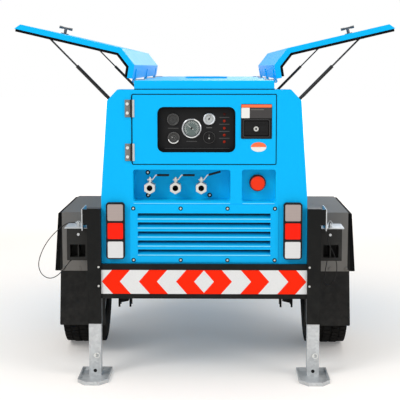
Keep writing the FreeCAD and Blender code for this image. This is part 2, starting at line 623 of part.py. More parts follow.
def tow_eye():
    """Square tube between the arms with the forged eye welded in its end."""
    middle = DRAWBAR_Z + DRAWBAR / 2
    half = DRAWBAR / 2
    tube_end = TIP_PLACE - 2 * EYE_OUTER - 70.0
    tube = box(-half, half, NOSE_PLACE - TUBE_LAP, tube_end, DRAWBAR_Z, DRAWBAR_Z + DRAWBAR)
    place = TIP_PLACE - EYE_OUTER
    shank = Part.makeCone(30.0, 20.0, place - EYE_OUTER + 12 - tube_end, V(0, at(tube_end), middle), Y)
    ring = rod(0, place, middle - EYE_BODY / 2, Z, EYE_OUTER, EYE_BODY)
    ring = ring.makeFillet(7.0, [edge for edge in ring.Edges if len(edge.Vertexes) == 1])
    eye = fused([shank, ring]).cut(rod(0, place, middle - EYE_BODY, Z, EYE_BORE / 2, 2 * EYE_BODY))
    print("tow eye bore centre", (0, at(place), middle))
    return fused([tube, eye])


def front_stand():
    """Sleeve through a cross plate between the arms, and the sliding leg with its foot."""
    clear = 1.0
    sleeve = tube_z(0, STAND_PLACE, LEG + 2 * (clear / 2 + 5), 5.0, DRAWBAR_Z - 60, DRAWBAR_Z + DRAWBAR + 120)
    slope = (RAIL_HALF - 65) / (NOSE_PLACE - RAIL_FRONT)
    reach = RAIL_HALF - 30.0 - (STAND_PLACE + 35 - RAIL_FRONT) * slope - DRAWBAR / 2
    plate = box(-reach, reach, STAND_PLACE - 35, STAND_PLACE + 35, DRAWBAR_Z, DRAWBAR_Z + 12)
    plate = plate.cut(box(-LEG / 2 - clear, LEG / 2 + clear, STAND_PLACE - LEG / 2 - clear,
                          STAND_PLACE + LEG / 2 + clear, DRAWBAR_Z - 1, DRAWBAR_Z + 13))
    leg = tube_z(0, STAND_PLACE, LEG, LEG_WALL, 5.0, DRAWBAR_Z + DRAWBAR + 40)
    save("front_stand_leg", fused([leg, jack_foot(0, STAND_PLACE)]))
    return fused([sleeve, plate])


def drawbar():
    save("drawbar_arms", *(drawbar_arms() + [front_stand()]))
    save("tow_eye", tow_eye())


# ---------------------------------------------------------------- canopy
CANOPY = [(-WAIST_HALF, BASE_Z), (WAIST_HALF, BASE_Z), (WAIST_HALF, WAIST_Z), (SHOULDER_HALF, SHOULDER_Z),
          (RIM_HALF, RIM_Z), (-RIM_HALF, RIM_Z), (-SHOULDER_HALF, SHOULDER_Z), (-WAIST_HALF, WAIST_Z)]
RECESS_R, WINDOW_R = 12.0, 26.0
DOOR_LAP = 7.0           # control door beyond its opening
LOUVRE_HALF, LOUVRE_PITCH, LOUVRES, CHEEK = 294.0, 40.0, 5, 2.4
GRILLE = (0.0, 330.0, 620.0, 1150.0)


def opening(shape, p0, p1, radius, amount=0.0):
    centre, half, low, high = shape
    return section_y(grown(rectangle(centre - half, centre + half, low, high), amount), p0, p1, radius)


def end_panel(back, front, face_first):
    """Pressed end panel: face, return flange all round and an inner jamb."""
    shell = section_y(CANOPY, back, front)
    inner = (back + SHEET, front) if face_first else (back, front - SHEET)
    jamb = (front - SHEET, front) if face_first else (back, back + SHEET)
    shell = shell.cut(section_y(grown(CANOPY, -SHEET), *inner))
    ring = section_y(grown(CANOPY, -SHEET), *jamb).cut(section_y(grown(CANOPY, -JAMB), *jamb))
    return shell.fuse(ring)


STUD_LENGTH = STRUT_LANE + EYE_WIDTH / 2 + 3.0


def strut_stud(side, place, length):
    return rod(side * STRUT_ROOT_HALF, place, STRUT_ROOT_Z, Y, STUD_R, length)


def rear_panel():
    panel = end_panel(0.0, END_DEPTH, True)
    holes = [opening(CONTROL_DOOR, -1, SHEET + 1, RECESS_R, -DOOR_LAP),
             opening(VALVE_RECESS, -1, SHEET + 1, RECESS_R), opening(STOP_RECESS, -1, SHEET + 1, RECESS_R),
             opening(LOUVRE_PANEL, -1, SHEET + 1, RECESS_R, -22.0)]
    studs = [strut_stud(side, END_DEPTH, STUD_LENGTH) for side in (-1, 1)]
    save("rear_panel", fused([panel.cut(Part.makeCompound(holes))] + studs))


def recess(shape, depth, radius):
    """Open box behind one opening of the rear panel."""
    box_outer = opening(shape, SHEET, SHEET + depth, radius + SHEET, SHEET)
    return box_outer.cut(opening(shape, SHEET, depth, radius))


def louvre_panel():
    """Bolted plate with pressed hoods open at their lower edges."""
    centre, half, low, high = LOUVRE_PANEL
    plate = opening(LOUVRE_PANEL, -SHEET, 0, 10.0)
    first = (low + high) / 2 - LOUVRE_PITCH * (LOUVRES - 1) / 2
    hoods = []
    for number in range(LOUVRES):
        z = first + number * LOUVRE_PITCH
        slot = box(CHEEK - LOUVRE_HALF, LOUVRE_HALF - CHEEK, -SHEET - 1, 1, z - 17, z - 1)
        plate = plate.cut(slot)
        side = [(0, z + 8), (-SHEET, z + 8), (-17, z - 11), (-17, z - 19), (-14.6, z - 19), (-14.6, z - 12),
                (0, z + 4)]
        hood = section_x(side, -LOUVRE_HALF, LOUVRE_HALF)
        cheek = [(-1, z + 6), (-16, z - 11), (-16, z - 19), (-1, z - 19)]
        hoods += [hood, section_x(cheek, -LOUVRE_HALF, CHEEK - LOUVRE_HALF),
                  section_x(cheek, LOUVRE_HALF - CHEEK, LOUVRE_HALF)]
    bolts = [hex_bolt(x, -SHEET, z, 7.0) for x in (-half + 16, -104, 104, half - 16)
             for z in (low + 11, high - 17.5)]
    save("louvre_panel", fused([plate] + hoods))
    return bolts


def hex_bolt(x, place, z, radius):
    """Washer and hexagon head facing the rear."""
    corners = [V(x + radius * math.cos(math.radians(60 * i)), at(place - 1.5),
                 z + radius * math.sin(math.radians(60 * i))) for i in range(7)]
    head = Part.Face(Part.makePolygon(corners)).extrude(V(0, -5, 0))
    return head.fuse(rod(x, place, z, -Y, radius * 1.35, 1.5))


def front_panel():
    panel = end_panel(BODY_LENGTH - END_DEPTH, BODY_LENGTH, False)
    panel = panel.cut(opening(GRILLE, BODY_LENGTH - SHEET - 1, BODY_LENGTH + 1, RECESS_R))
    studs = [strut_stud(side, BODY_LENGTH - END_DEPTH - STUD_LENGTH, STUD_LENGTH) for side in (-1, 1)]
    centre, half, low, high = GRILLE
    frame = opening(GRILLE, BODY_LENGTH, BODY_LENGTH + 6, RECESS_R + 10, 16.0).cut(
        opening(GRILLE, BODY_LENGTH, BODY_LENGTH + 6, RECESS_R))
    bars = 13
    pitch = (high - low) / bars
    corners = ((-22, 0.85), (2, 0.3), (5, 0.36), (-19, 0.91))
    blades = [section_x([(BODY_LENGTH + p, low + pitch * (i + rise)) for p, rise in corners], -half, half)
              for i in range(bars)]
    posts = [box(x - 6, x + 6, BODY_LENGTH, BODY_LENGTH + 4, low - 2, high + 2)
             for x in (-half / 3, half / 3)]
    save("front_panel", fused([panel] + studs), fused([frame] + blades + posts))


def side_panels():
    """Fixed lower sides with the door sill turned inward."""
    sill, face = WAIST_Z + 22, WAIST_HALF - SHEET
    shape = strip([(WAIST_HALF - 24, BASE_Z + SHEET), (face, BASE_Z + SHEET), (face, WAIST_Z),
                   (face - SIDE_SLOPE * 22, sill), (WAIST_HALF - 30, sill)], SHEET)
    side = section_y(shape, END_DEPTH, BODY_LENGTH - END_DEPTH)
    save("side_panels", mirrored(side), side)


def canopy_base():
    """Floor tray with a turned-up edge inside the panels and three stiffening channels."""
    edge = WAIST_HALF - 24
    tray = box(-edge, edge, END_DEPTH, BODY_LENGTH - END_DEPTH, BASE_Z, BASE_Z + FLOOR)
    walls = [box(-edge, edge, p, p + FLOOR, BASE_Z, BASE_Z + 40)
             for p in (END_DEPTH, BODY_LENGTH - END_DEPTH - FLOOR)]
    save("canopy_base", fused([tray] + walls))


FLOOR = 4.0
FLOOR_TOP = BASE_Z + FLOOR


def roof_panel():
    """Shallow channel between the doors, closed at its ends, with a lifting eye in a raised collar."""
    start, end = 8.0, BODY_LENGTH - 8.0
    low = RIM_Z + ROOF_SEAL
    cap = box(-ROOF_HALF, ROOF_HALF, start, end, low, ROOF_TOP)
    edges = [edge for edge in cap.Edges if min(v.Z for v in edge.Vertexes) > ROOF_TOP - 1]
    cap = cap.makeFillet(5.0, edges)
    inner = ROOF_HALF - SHEET
    cap = cap.cut(box(-inner, inner, start + SHEET, end - SHEET, low - 1, ROOF_TOP - SHEET))
    middle = BODY_LENGTH / 2
    collar = section_z(rectangle(-108, 108, middle - 130, middle + 130), ROOF_TOP, ROOF_TOP + 9, 22.0)
    well = section_z(rectangle(-70, 70, middle - 60, middle + 60), low, ROOF_TOP + 10, 12.0)
    seals = [box(-ROOF_HALF, ROOF_HALF, p, p + END_DEPTH - 20, RIM_Z, low)
             for p in (start, BODY_LENGTH - END_DEPTH + 20 - 8)]
    save("roof_panel", fused([cap, collar]).cut(well), *seals)
    lifting_frame(middle)


LIFT_BORE, LIFT_PLATE, LIFT_R = 40.0, 16.0, 36.0
ARCH, ARCH_HALF, ARCH_TOP = 40.0, 404.0, RIM_Z - 2.0


def lifting_frame(middle):
    """Bent arch from the floor that carries the eye in the roof's well."""
    line = [(ARCH_HALF, FLOOR_TOP), (ARCH_HALF, SHOULDER_Z - 40), (RIM_HALF - 60, ARCH_TOP),
            (60 - RIM_HALF, ARCH_TOP), (-ARCH_HALF, SHOULDER_Z - 40), (-ARCH_HALF, FLOOR_TOP)]
    arch = section_y(strip(line[::-1], ARCH), middle - ARCH / 2, middle + ARCH / 2)
    z = ROOF_TOP - LIFT_R + 6
    disc = rod(-LIFT_PLATE / 2, middle, z, X, LIFT_R, LIFT_PLATE)
    foot = box(-LIFT_PLATE / 2, LIFT_PLATE / 2, middle - LIFT_R, middle + LIFT_R, ARCH_TOP - 5, z)
    eye = disc.fuse(foot).cut(rod(-LIFT_PLATE, middle, z, X, LIFT_BORE / 2, 2 * LIFT_PLATE))
    print("lifting eye centre", (0, at(middle), z))
    save("lifting_frame", fused([arch, eye]))


# ---------------------------------------------------------------- gull-wing doors
OPEN = math.radians(DOOR_OPEN)


def door_line(stand_off, inset=0.0):
    """(x, z) points of the closed door at one distance from the canopy, its lower edge cut at 45 degrees."""
    shape = grown(CANOPY, stand_off)
    (shoulder_x, shoulder_z), crest = shape[3], shape[4]
    tip = DOOR_TIP_Z + inset + max(0.0, stand_off - DOOR_STAND_OFF + DOOR_DEPTH)
    return [(DOOR_EDGE + inset, RIM_Z + stand_off), crest, (shoulder_x, shoulder_z),
            (shoulder_x + SIDE_SLOPE * (shoulder_z - tip), tip)]


def door_band(outer, inner, p0, p1, inset=0.0):
    return section_y(door_line(inner, inset) + door_line(outer, inset)[::-1], p0, p1)


def opened(shape):
    """A door piece drawn closed, swung up to its open place."""
    shape = shape.copy()
    shape.rotate(V(HINGE_HALF, 0, HINGE_Z), Y, -DOOR_OPEN)
    return shape


def closed_point(x, z):
    """Where a point of the open door lies when the door is closed."""
    u, w = x - HINGE_HALF, z - HINGE_Z
    return (HINGE_HALF + u * math.cos(OPEN) + w * math.sin(OPEN),
            HINGE_Z - u * math.sin(OPEN) + w * math.cos(OPEN))


def door_shell():
    start, end = DOOR_START, DOOR_START + DOOR_LENGTH
    inner = DOOR_STAND_OFF - DOOR_DEPTH
    pan = door_band(DOOR_STAND_OFF, inner, start, end)
    pan = pan.cut(door_band(DOOR_STAND_OFF - SHEET, inner + SHEET, start + SHEET, end - SHEET, SHEET))
    pan = pan.cut(door_band(inner + SHEET, inner - 1, start + DOOR_RETURN, end - DOOR_RETURN, DOOR_RETURN))
    ribs = []
    for share in (0.25, 0.5, 0.75):
        middle = start + share * DOOR_LENGTH
        rib = door_band(DOOR_STAND_OFF - 2, DOOR_STAND_OFF - 16, middle - 22, middle + 22, SHEET - 0.5)
        inside = door_band(DOOR_STAND_OFF - 2, DOOR_STAND_OFF - 14, middle - 18, middle + 18, SHEET)
        ribs.append(rib.cut(inside))
    return pan, ribs


def door_seal():
    start, end = DOOR_START, DOOR_START + DOOR_LENGTH
    inner = DOOR_STAND_OFF - DOOR_DEPTH
    wide = SEAL_INSET + SEAL_WIDTH
    band = door_band(inner, inner - SEAL, start, end, SEAL_INSET)
    return band.cut(door_band(inner + 1, inner - SEAL - 1, start + SEAL_WIDTH, end - SEAL_WIDTH, wide))


def moving_knuckles(middle):
    """Two outer barrels and their leaf on the door's top strip."""
    third = HINGE_LENGTH / 4
    pieces = []
    for p in (middle - 2 * third, middle + third + FIT):
        length = third - FIT
        pieces.append(pipe(HINGE_HALF, p, HINGE_Z, Y, KNUCKLE_R, PIN_R + RUNNING, length))
        web = [(HINGE_HALF + 4, HINGE_Z - KNUCKLE_R + 1), (DOOR_EDGE + 34, RIM_Z + DOOR_STAND_OFF - 0.5),
               (DOOR_EDGE + 34, RIM_Z + DOOR_STAND_OFF + 4), (HINGE_HALF + 6, HINGE_Z + 4)]
        pieces.append(section_y(web, p, p + length))
    leaf = box(DOOR_EDGE + 4, DOOR_EDGE + 44, middle - 2 * third, middle + 2 * third,
               RIM_Z + DOOR_STAND_OFF - 0.5, RIM_Z + DOOR_STAND_OFF + 4)
    return pieces + [leaf]


def fixed_hinge(middle):
    """Middle barrel with its pin, welded to a leaf on the roof."""
    third = HINGE_LENGTH / 4
    barrel = rod(HINGE_HALF, middle - third + FIT, HINGE_Z, Y, KNUCKLE_R, 2 * third - 2 * FIT)
    web = rectangle(ROOF_HALF - 34, HINGE_HALF, ROOF_TOP, ROOF_TOP + 4)
    leaf = section_y(web, middle - third + FIT, middle + third - FIT)
    pin = rod(HINGE_HALF, middle - 2 * third - 2, HINGE_Z, Y, PIN_R, HINGE_LENGTH + 4)
    return fused([barrel, leaf, pin])


UPPER_GAP = 0.6          # between a strut's eye and the stud it is led beside


def strut_places():
    """Middle of the strut lanes beside the two end panels."""
    lane = END_DEPTH + STRUT_LANE
    return lane, BODY_LENGTH - lane


def strut_top():
    """The upper stud of a strut, on the open door and below the inside of its skin."""
    shoulder, tip = [opened_vector(V(x, 0, z)) for x, z in door_line(DOOR_STAND_OFF - SHEET)[2:]]
    share = (STRUT_TOP_HALF - shoulder.x) / (tip.x - shoulder.x)
    return V(STRUT_TOP_HALF, 0, shoulder.z + share * (tip.z - shoulder.z) - STRUT_TOP_DROP)


def strut_top_closed():
    top = strut_top()
    return closed_point(top.x, top.z)


def strut_bracket(place, toward):
    """Upright and stud on the door's skin beside the strut's upper eye."""
    x, z = strut_top_closed()
    side = toward * (EYE_WIDTH / 2 + UPPER_GAP)
    stud = rod(x, place + side, z, Y * toward, STUD_R, 14.0)
    p0, p1 = sorted((place + side + toward * 9, place + side + toward * 14))
    skin = door_line(DOOR_STAND_OFF - SHEET + 0.5)
    slope = SIDE_SLOPE
    foot = skin[2][0] + slope * (skin[2][1] - z)
    plate = section_y([(x - 11, z - 12), (foot + slope * 26, z - 26), (foot - slope * 26, z + 26),
                       (x - 11, z + 12)], p0, p1, 3.0)
    return [stud, plate]


HANDLE_RISE, HANDLE_STEM, HANDLE_HALF = 90.0, 32.0, 35.0     # above the door's lower edge; stem; bar


def t_handle():
    """Round escutcheon, stem and bar standing on the door's skin near the lower edge."""
    tip_x, tip_z = door_line(DOOR_STAND_OFF)[3]
    z = DOOR_TIP_Z + HANDLE_RISE
    x = tip_x - SIDE_SLOPE * (z - tip_z)
    tilt = math.atan(SIDE_SLOPE)
    out = V(math.cos(tilt), 0, math.sin(tilt))
    up = V(-math.sin(tilt), 0, math.cos(tilt))
    base = V(x, at(DOOR_START + DOOR_LENGTH / 2), z)
    stem = Part.makeCylinder(8.0, HANDLE_STEM, base + out * FIT, out)
    disc = Part.makeCylinder(20.0, 5.0, base + out * FIT, out)
    middle = base + out * HANDLE_STEM
    bar = Part.makeCylinder(5.5, 2 * HANDLE_HALF, middle - up * HANDLE_HALF, up)
    ends = [Part.makeCylinder(7.0, 18.0, middle + up * end, up) for end in (-HANDLE_HALF, HANDLE_HALF - 18.0)]
    centre = opened_vector(base + out * FIT)
    print("right handle centre %s axis %s" % (tuple(round(v, 3) for v in centre),
                                             tuple(round(v, 5) for v in turned(out))))
    return fused([stem, disc, bar] + ends)


def turned(direction):
    return V(direction.x * math.cos(OPEN) - direction.z * math.sin(OPEN), direction.y,
             direction.x * math.sin(OPEN) + direction.z * math.cos(OPEN))


def opened_vector(point):
    pivot = V(HINGE_HALF, 0, HINGE_Z)
    return turned(point - pivot) + pivot


def strut():
    """Cylinder and rod on the line between the studs of the open door."""
    root, top = V(STRUT_ROOT_HALF, 0, STRUT_ROOT_Z), strut_top()
    line = (top - root).normalize()
    length = root.distanceToPoint(top)
    cylinders, rods = [], []
    for place in strut_places():
        start = root + V(0, at(place), 0)
        bore = ROD_R + RUNNING
        body = Part.makeCylinder(CYLINDER_R, CYLINDER_LENGTH - EYE_R - 2, start + line * (EYE_R + 2), line)
        neck = Part.makeCylinder(5.0, EYE_R + 4, start, line)
        eye = rod(start.x, place - EYE_WIDTH / 2, start.z, Y, EYE_R, EYE_WIDTH)
        body = fused([body, neck, eye])
        hole = Part.makeCylinder(bore, CYLINDER_LENGTH, start + line * (EYE_R + 6), line)
        stud_bore = rod(start.x, place - EYE_WIDTH, start.z, Y, STUD_R + RUNNING, 2 * EYE_WIDTH)
        cylinders.append(body.cut(hole).cut(stud_bore))
        stroke = length - root.distanceToPoint(closed_xyz())
        inside = CYLINDER_LENGTH - stroke - EYE_R - 8.0
        shaft = Part.makeCylinder(ROD_R, length - CYLINDER_LENGTH + inside,
                                  start + line * (CYLINDER_LENGTH - inside), line)
        end = start + line * length
        upper = rod(end.x, place - EYE_WIDTH / 2, end.z, Y, EYE_R, EYE_WIDTH)
        upper = fused([upper, shaft])
        rods.append(upper.cut(rod(end.x, place - EYE_WIDTH, end.z, Y, STUD_R + RUNNING, 2 * EYE_WIDTH)))
    return cylinders, rods


def closed_xyz():
    x, z = strut_top_closed()
    return V(x, 0, z)


def doors():
    pan, ribs = door_shell()
    lanes = strut_places()
    brackets = strut_bracket(lanes[0], 1) + strut_bracket(lanes[1], -1)
    knuckles = [piece for p in HINGE_PLACES for piece in moving_knuckles(DOOR_START + p)]
    panel = opened(fused([pan] + ribs + brackets + knuckles))
    seal = opened(door_seal())
    handle = opened(t_handle())
    cylinders, rods = strut()
    hinges = [fixed_hinge(DOOR_START + p) for p in HINGE_PLACES]
    for side, name in ((-1, "left"), (1, "right")):
        turn = mirrored if side < 0 else (lambda shape: shape)
        save(name + "_door", turn(panel), turn(seal))
        save(name + "_door_handle", turn(handle))
        save(name + "_strut_cylinders", *[turn(piece) for piece in cylinders])
        save(name + "_strut_rods", *[turn(piece) for piece in rods])
    report_strut()
    return hinges + [mirrored(piece) for piece in hinges]


def report_strut():
    """Numbers that the joints of the struts need."""
    root = V(STRUT_ROOT_HALF, 0, STRUT_ROOT_Z)
    top, shut = strut_top(), closed_xyz()
    a, b = top - root, shut - root
    swing = math.degrees(math.atan2(a.z, a.x) - math.atan2(b.z, b.x))
    print("strut: root %s top %s shut %s" % (tuple(root), tuple(top), tuple(shut)))
    print("strut: swing %.5f deg, stroke %.5f mm, open length %.3f" % (swing, a.Length - b.Length, a.Length))
    print("strut: direction %.6f %.6f" % (a.x / a.Length, a.z / a.Length))


# ---------------------------------------------------------------- rear controls
HINGE_X, CONTROL_PIVOT = -320.5, -9.0       # control door pivot: X and place
CONTROL_HINGES = (1006.0, 1199.0)
CONTROL_LEAF = 38.0      # half height of a leaf
CONTROL_BARREL, CONTROL_PIN = 4.5, 2.0
DOOR_BACK = -1.0         # inner face of the control door's skin
TRAY = (230.0, 56.0, 1076.0, 1148.0)
LOCK_X, LOCK_Z = 228.5, 1110.0
TRAY_DEPTH = 20.0
BUTTON_X, BUTTON_Z, BUTTON_R, COLLAR_R = 238.5, 865.5, 32.0, 37.0
GAUGES = ((-55.5, 1111.0, 43.0), (-137.5, 1150.0, 26.0), (-135.0, 1068.5, 26.0), (22.0, 1152.0, 26.0))
SWITCH = (22.0, 1070.0, 24.0)
LAMPS = ((89.0, 1173.0), (89.0, 1143.0), (89.0, 1111.0), (89.0, 1081.0), (89.0, 1051.0))


def control_barrel(z, low, high):
    return pipe(HINGE_X, CONTROL_PIVOT, z + low, Z, CONTROL_BARREL, CONTROL_PIN + RUNNING, high - low)


def control_door():
    """Sheet door with a return flange, a framed window and the moving hinge leaves."""
    skin = opening(CONTROL_DOOR, DOOR_BACK - SHEET, DOOR_BACK, 6.0)
    rim_back = 8.0
    flange = opening(CONTROL_DOOR, DOOR_BACK, rim_back, 8.0, -DOOR_LAP - 2.0).cut(
        opening(CONTROL_DOOR, DOOR_BACK, rim_back, 6.0, -DOOR_LAP - 2.0 - SHEET))
    frame = opening(WINDOW, DOOR_BACK, rim_back, WINDOW_R + SHEET, SHEET).cut(
        opening(WINDOW, DOOR_BACK, rim_back, WINDOW_R))
    holes = [opening(WINDOW, -20, 1, WINDOW_R), opening(TRAY, -20, 20, 4.0, SHEET)]
    pieces = [skin.cut(Part.makeCompound(holes)), flange, frame]
    outer = DOOR_BACK - SHEET
    for z in CONTROL_HINGES:
        web = box(HINGE_X + 3, HINGE_X + 14, outer - 4, outer, z - CONTROL_LEAF, z + CONTROL_LEAF)
        gap = box(HINGE_X - 10, HINGE_X + CONTROL_BARREL + FIT, -30, 0, z - 13, z + 13)
        ends = [control_barrel(z, -CONTROL_LEAF, -13 - FIT), control_barrel(z, 13 + FIT, CONTROL_LEAF)]
        pin_hole = rod(HINGE_X, CONTROL_PIVOT, z - 40, Z, CONTROL_PIN + RUNNING, 80)
        pieces.append(fused([web.cut(gap)] + ends).cut(pin_hole))
    save("control_door", fused(pieces), latch_plate())


def latch_plate():
    """Flush latch: face plate with a recessed tray for the paddle."""
    plate = opening(LATCH_PLATE, DOOR_BACK - SHEET - 2, DOOR_BACK - SHEET, 5.0)
    tray = opening(TRAY, DOOR_BACK - SHEET, DOOR_BACK - SHEET + TRAY_DEPTH, 6.0, SHEET - 0.5)
    hollow = opening(TRAY, DOOR_BACK - SHEET - 3, DOOR_BACK - SHEET + TRAY_DEPTH - 2, 4.0)
    return plate.fuse(tray).cut(hollow)


def control_hinges():
    pieces = []
    for z in CONTROL_HINGES:
        leaf = box(HINGE_X - 28, HINGE_X - 3, -4, 0, z - CONTROL_LEAF, z + CONTROL_LEAF)
        leaf = leaf.cut(box(HINGE_X - CONTROL_BARREL - FIT, HINGE_X + 10, -30, 1, z - 39, z - 13))
        leaf = leaf.cut(box(HINGE_X - CONTROL_BARREL - FIT, HINGE_X + 10, -30, 1, z + 13, z + 39))
        bolts = [rod(HINGE_X - 17, -4, z + rise, -Y, 7.0, 4.0) for rise in (-20, 20)]
        barrel = rod(HINGE_X, CONTROL_PIVOT, z - 13, Z, CONTROL_BARREL, 26)
        web = box(HINGE_X - CONTROL_BARREL, HINGE_X, CONTROL_PIVOT, -2, z - 13, z + 13)
        pin = rod(HINGE_X, CONTROL_PIVOT, z - 39, Z, CONTROL_PIN, 78)
        pieces.append(fused([leaf, barrel, web, pin] + bolts))
    return pieces


PADDLE_PIVOT_Z = TRAY[3] - 8.0


def latch_paddle():
    """Pull paddle with grip ribs and a lock barrel."""
    centre, half, low, high = TRAY
    front = DOOR_BACK - SHEET + 2
    shape = rectangle(centre - half + 3, centre + half - 3, low + 5, high - 5)
    plate = section_y(shape, front, front + 6, 3.0)
    ribs = [box(centre - half + 12, centre + half - 12, front - 1.5, front, z, z + 3)
            for z in (low + 12, low + 19, low + 50, low + 57)]
    barrel = pipe(LOCK_X, front - 4, LOCK_Z, Y, 9.0, 6.0, 6.0)
    barrel = barrel.fuse(rod(LOCK_X, front - 2, LOCK_Z, Y, 6.5, 5.0))
    pivot = rod(centre - half + FIT, front + 6, PADDLE_PIVOT_Z, X, 3.0, 2 * (half - FIT))
    save("latch_paddle", fused([plate, barrel, pivot] + ribs))


def instrument_panel():
    low_face = SHEET + PANEL_DEPTH
    outer = opening(CONTROL_DOOR, SHEET, low_face, RECESS_R, -DOOR_LAP + 8.0)
    panel = outer.cut(opening(CONTROL_DOOR, SHEET, low_face - SHEET, RECESS_R - 3, -DOOR_LAP + 5.0))
    face = low_face - SHEET
    x, z, radius = SWITCH
    panel = panel.cut(rod(x, face - 1, z, Y, 7.0 + RUNNING, SHEET + 2))
    save("instrument_panel", panel)
    return face


def gauge(x, z, radius, face):
    """Bezel ring with a dial set inside it."""
    centre = V(x, at(face), z)
    bezel = revolved([(0, radius), (9, radius), (11, radius - 3), (10, radius - 6), (3, radius - 7),
                      (0, radius - 7)], centre, -Y, X)
    dial = rod(x, face, z, -Y, radius - 7, 3.0)
    return [bezel, dial]


def instruments(face):
    pieces = [piece for x, z, radius in GAUGES for piece in gauge(x, z, radius, face)]
    lamps = []
    for x, z in LAMPS:
        dome = Part.makeSphere(4.5, V(x, at(face) - 3, z)).common(rod(x, face - 3, z, -Y, 6.0, 6.0))
        lamps.append(rod(x, face, z, -Y, 6.0, 3.0).fuse(dome))
    save("panel_instruments", *(pieces + lamps))
    x, z, radius = SWITCH
    knob = rod(x, face - FIT, z, -Y, radius, 6.0).fuse(rod(x, face - FIT - 6, z, -Y, radius - 5, 12.0))
    knob = knob.fuse(box(x - 5, x + 5, face - 24, face - 6, z - radius + 4, z + radius - 4))
    save("start_switch", fused([knob, rod(x, face - 6, z, Y, 7.0, SHEET + 10)]))


def stop_button():
    """Mushroom head on a stem that slides in its collar."""
    back = STOP_DEPTH
    head = rod(BUTTON_X, back - 46, BUTTON_Z, Y, BUTTON_R, 14.0)
    head = head.makeFillet(5.0, [edge for edge in head.Edges if len(edge.Vertexes) == 1][:2])
    stem = rod(BUTTON_X, back - 33, BUTTON_Z, Y, 9.0, 24.0)
    save("stop_button", fused([head, stem]))
    collar = rod(BUTTON_X, back - 20, BUTTON_Z, Y, COLLAR_R, 20.0)
    return collar.cut(rod(BUTTON_X, back - 21, BUTTON_Z, Y, 9.0 + RUNNING, 22.0))


def recesses():
    save("valve_recess", recess(VALVE_RECESS, VALVE_DEPTH, RECESS_R))
    save("stop_recess", recess(STOP_RECESS, STOP_DEPTH, RECESS_R), stop_button())
    return [hex_bolt(x, VALVE_DEPTH, z, 7.0) for x, z in RECESS_BOLTS]


RECESS_BOLTS = ((-256.0, 906.0), (-255.0, 802.0), (24.0, 803.0))
VALVES = (-243.0, -128.0, -13.0)
LEVER_TILT = (0.0, 0.0, 15.0)
VALVE_Z, VALVE_BORE = 844.0, 13.0
STEM_PLACE, LEVER_RISE = 58.0, 62.0


def outlet_valve(x):
    """Ball valve on a nipple from the recess's back wall, bore open to the rear."""
    back = VALVE_DEPTH

    def hexagon(radius, p0, p1):
        turns = [math.radians(60 * i + 30) for i in range(6)]
        corners = [(x + radius * math.cos(turn), VALVE_Z + radius * math.sin(turn)) for turn in turns]
        return section_y(corners, p0, p1)

    nipple = rod(x, 88, VALVE_Z, Y, 17.0, back - 88)
    body = revolved([(0, 0), (0, 21), (8, 26), (24, 26), (34, 20), (34, 0)], V(x, at(42), VALVE_Z), Y, X)
    stem = rod(x, STEM_PLACE, VALVE_Z + 20, Z, 9.0, LEVER_RISE - 49 - FIT)
    shape = fused([nipple, body, hexagon(27.0, 22, 43), hexagon(27.0, 76, 90), stem])
    shape = shape.cut(rod(x, 10, VALVE_Z, Y, VALVE_BORE, back - 20))
    return shape.cut(rod(x, STEM_PLACE, VALVE_Z + 15, Z, 5.0 + RUNNING, 60))


def valve_lever(x, tilt):
    """Cranked flat lever on the stem, closed across the flow, with a dipped grip."""
    top = VALVE_Z + LEVER_RISE - 4
    climb = math.tan(math.radians(tilt))
    split, end = x + 32, x + 86

    def along(u):
        return top + climb * (u - x - 26)

    arm = strip([(x - 12, top - 21), (x + 10, top - 21), (x + 26, top), (split, along(split))], 4.0)
    lever = section_y(arm, STEM_PLACE - 8, STEM_PLACE + 8)
    spindle = rod(x, STEM_PLACE, VALVE_Z + 16, Z, 5.0, LEVER_RISE - 31)
    cap = rod(x, STEM_PLACE, top - 22, Z, 8.0, 7.0)
    grip = [(split, along(split) - 7), (end, along(end) - 7), (end, along(end) + 2),
            (split, along(split) + 2)]
    sleeve = section_y(grip, STEM_PLACE - 9, STEM_PLACE + 9)
    sleeve = sleeve.makeFillet(2.5, sleeve.Edges)
    lever = lever.cut(box(split, end, STEM_PLACE - 20, STEM_PLACE + 20, top - 20, top + 20))
    return [fused([lever, spindle, cap]), sleeve]


def valves():
    save("outlet_valves", *[outlet_valve(x) for x in VALVES])
    for number, x in enumerate(VALVES):
        save("valve_lever_%d" % (number + 1), *valve_lever(x, LEVER_TILT[number]))


LAMP_X, LAMP_HALF, LAMP_Z = 393.0, 41.5, (531.5, 784.5)
LENSES = ((537.0, 611.0), (622.0, 694.0), (703.0, 777.0))


def tail_lamp(side):
    x = side * LAMP_X
    housing = section_y(rectangle(x - LAMP_HALF, x + LAMP_HALF, *LAMP_Z), -22, 0, 14.0)
    lenses = []
    for low, high in LENSES:
        seat = rectangle(x - 34.5, x + 34.5, low, high)
        housing = housing.cut(section_y(seat, -23, -6, 6.0))
        lenses.append(section_y(grown(seat, -FIT), -25, -6, 6.0))
    return housing, lenses


def lamps():
    pairs = [tail_lamp(side) for side in (-1, 1)]
    save("tail_lamps", *[piece for housing, lenses in pairs for piece in [housing] + lenses])


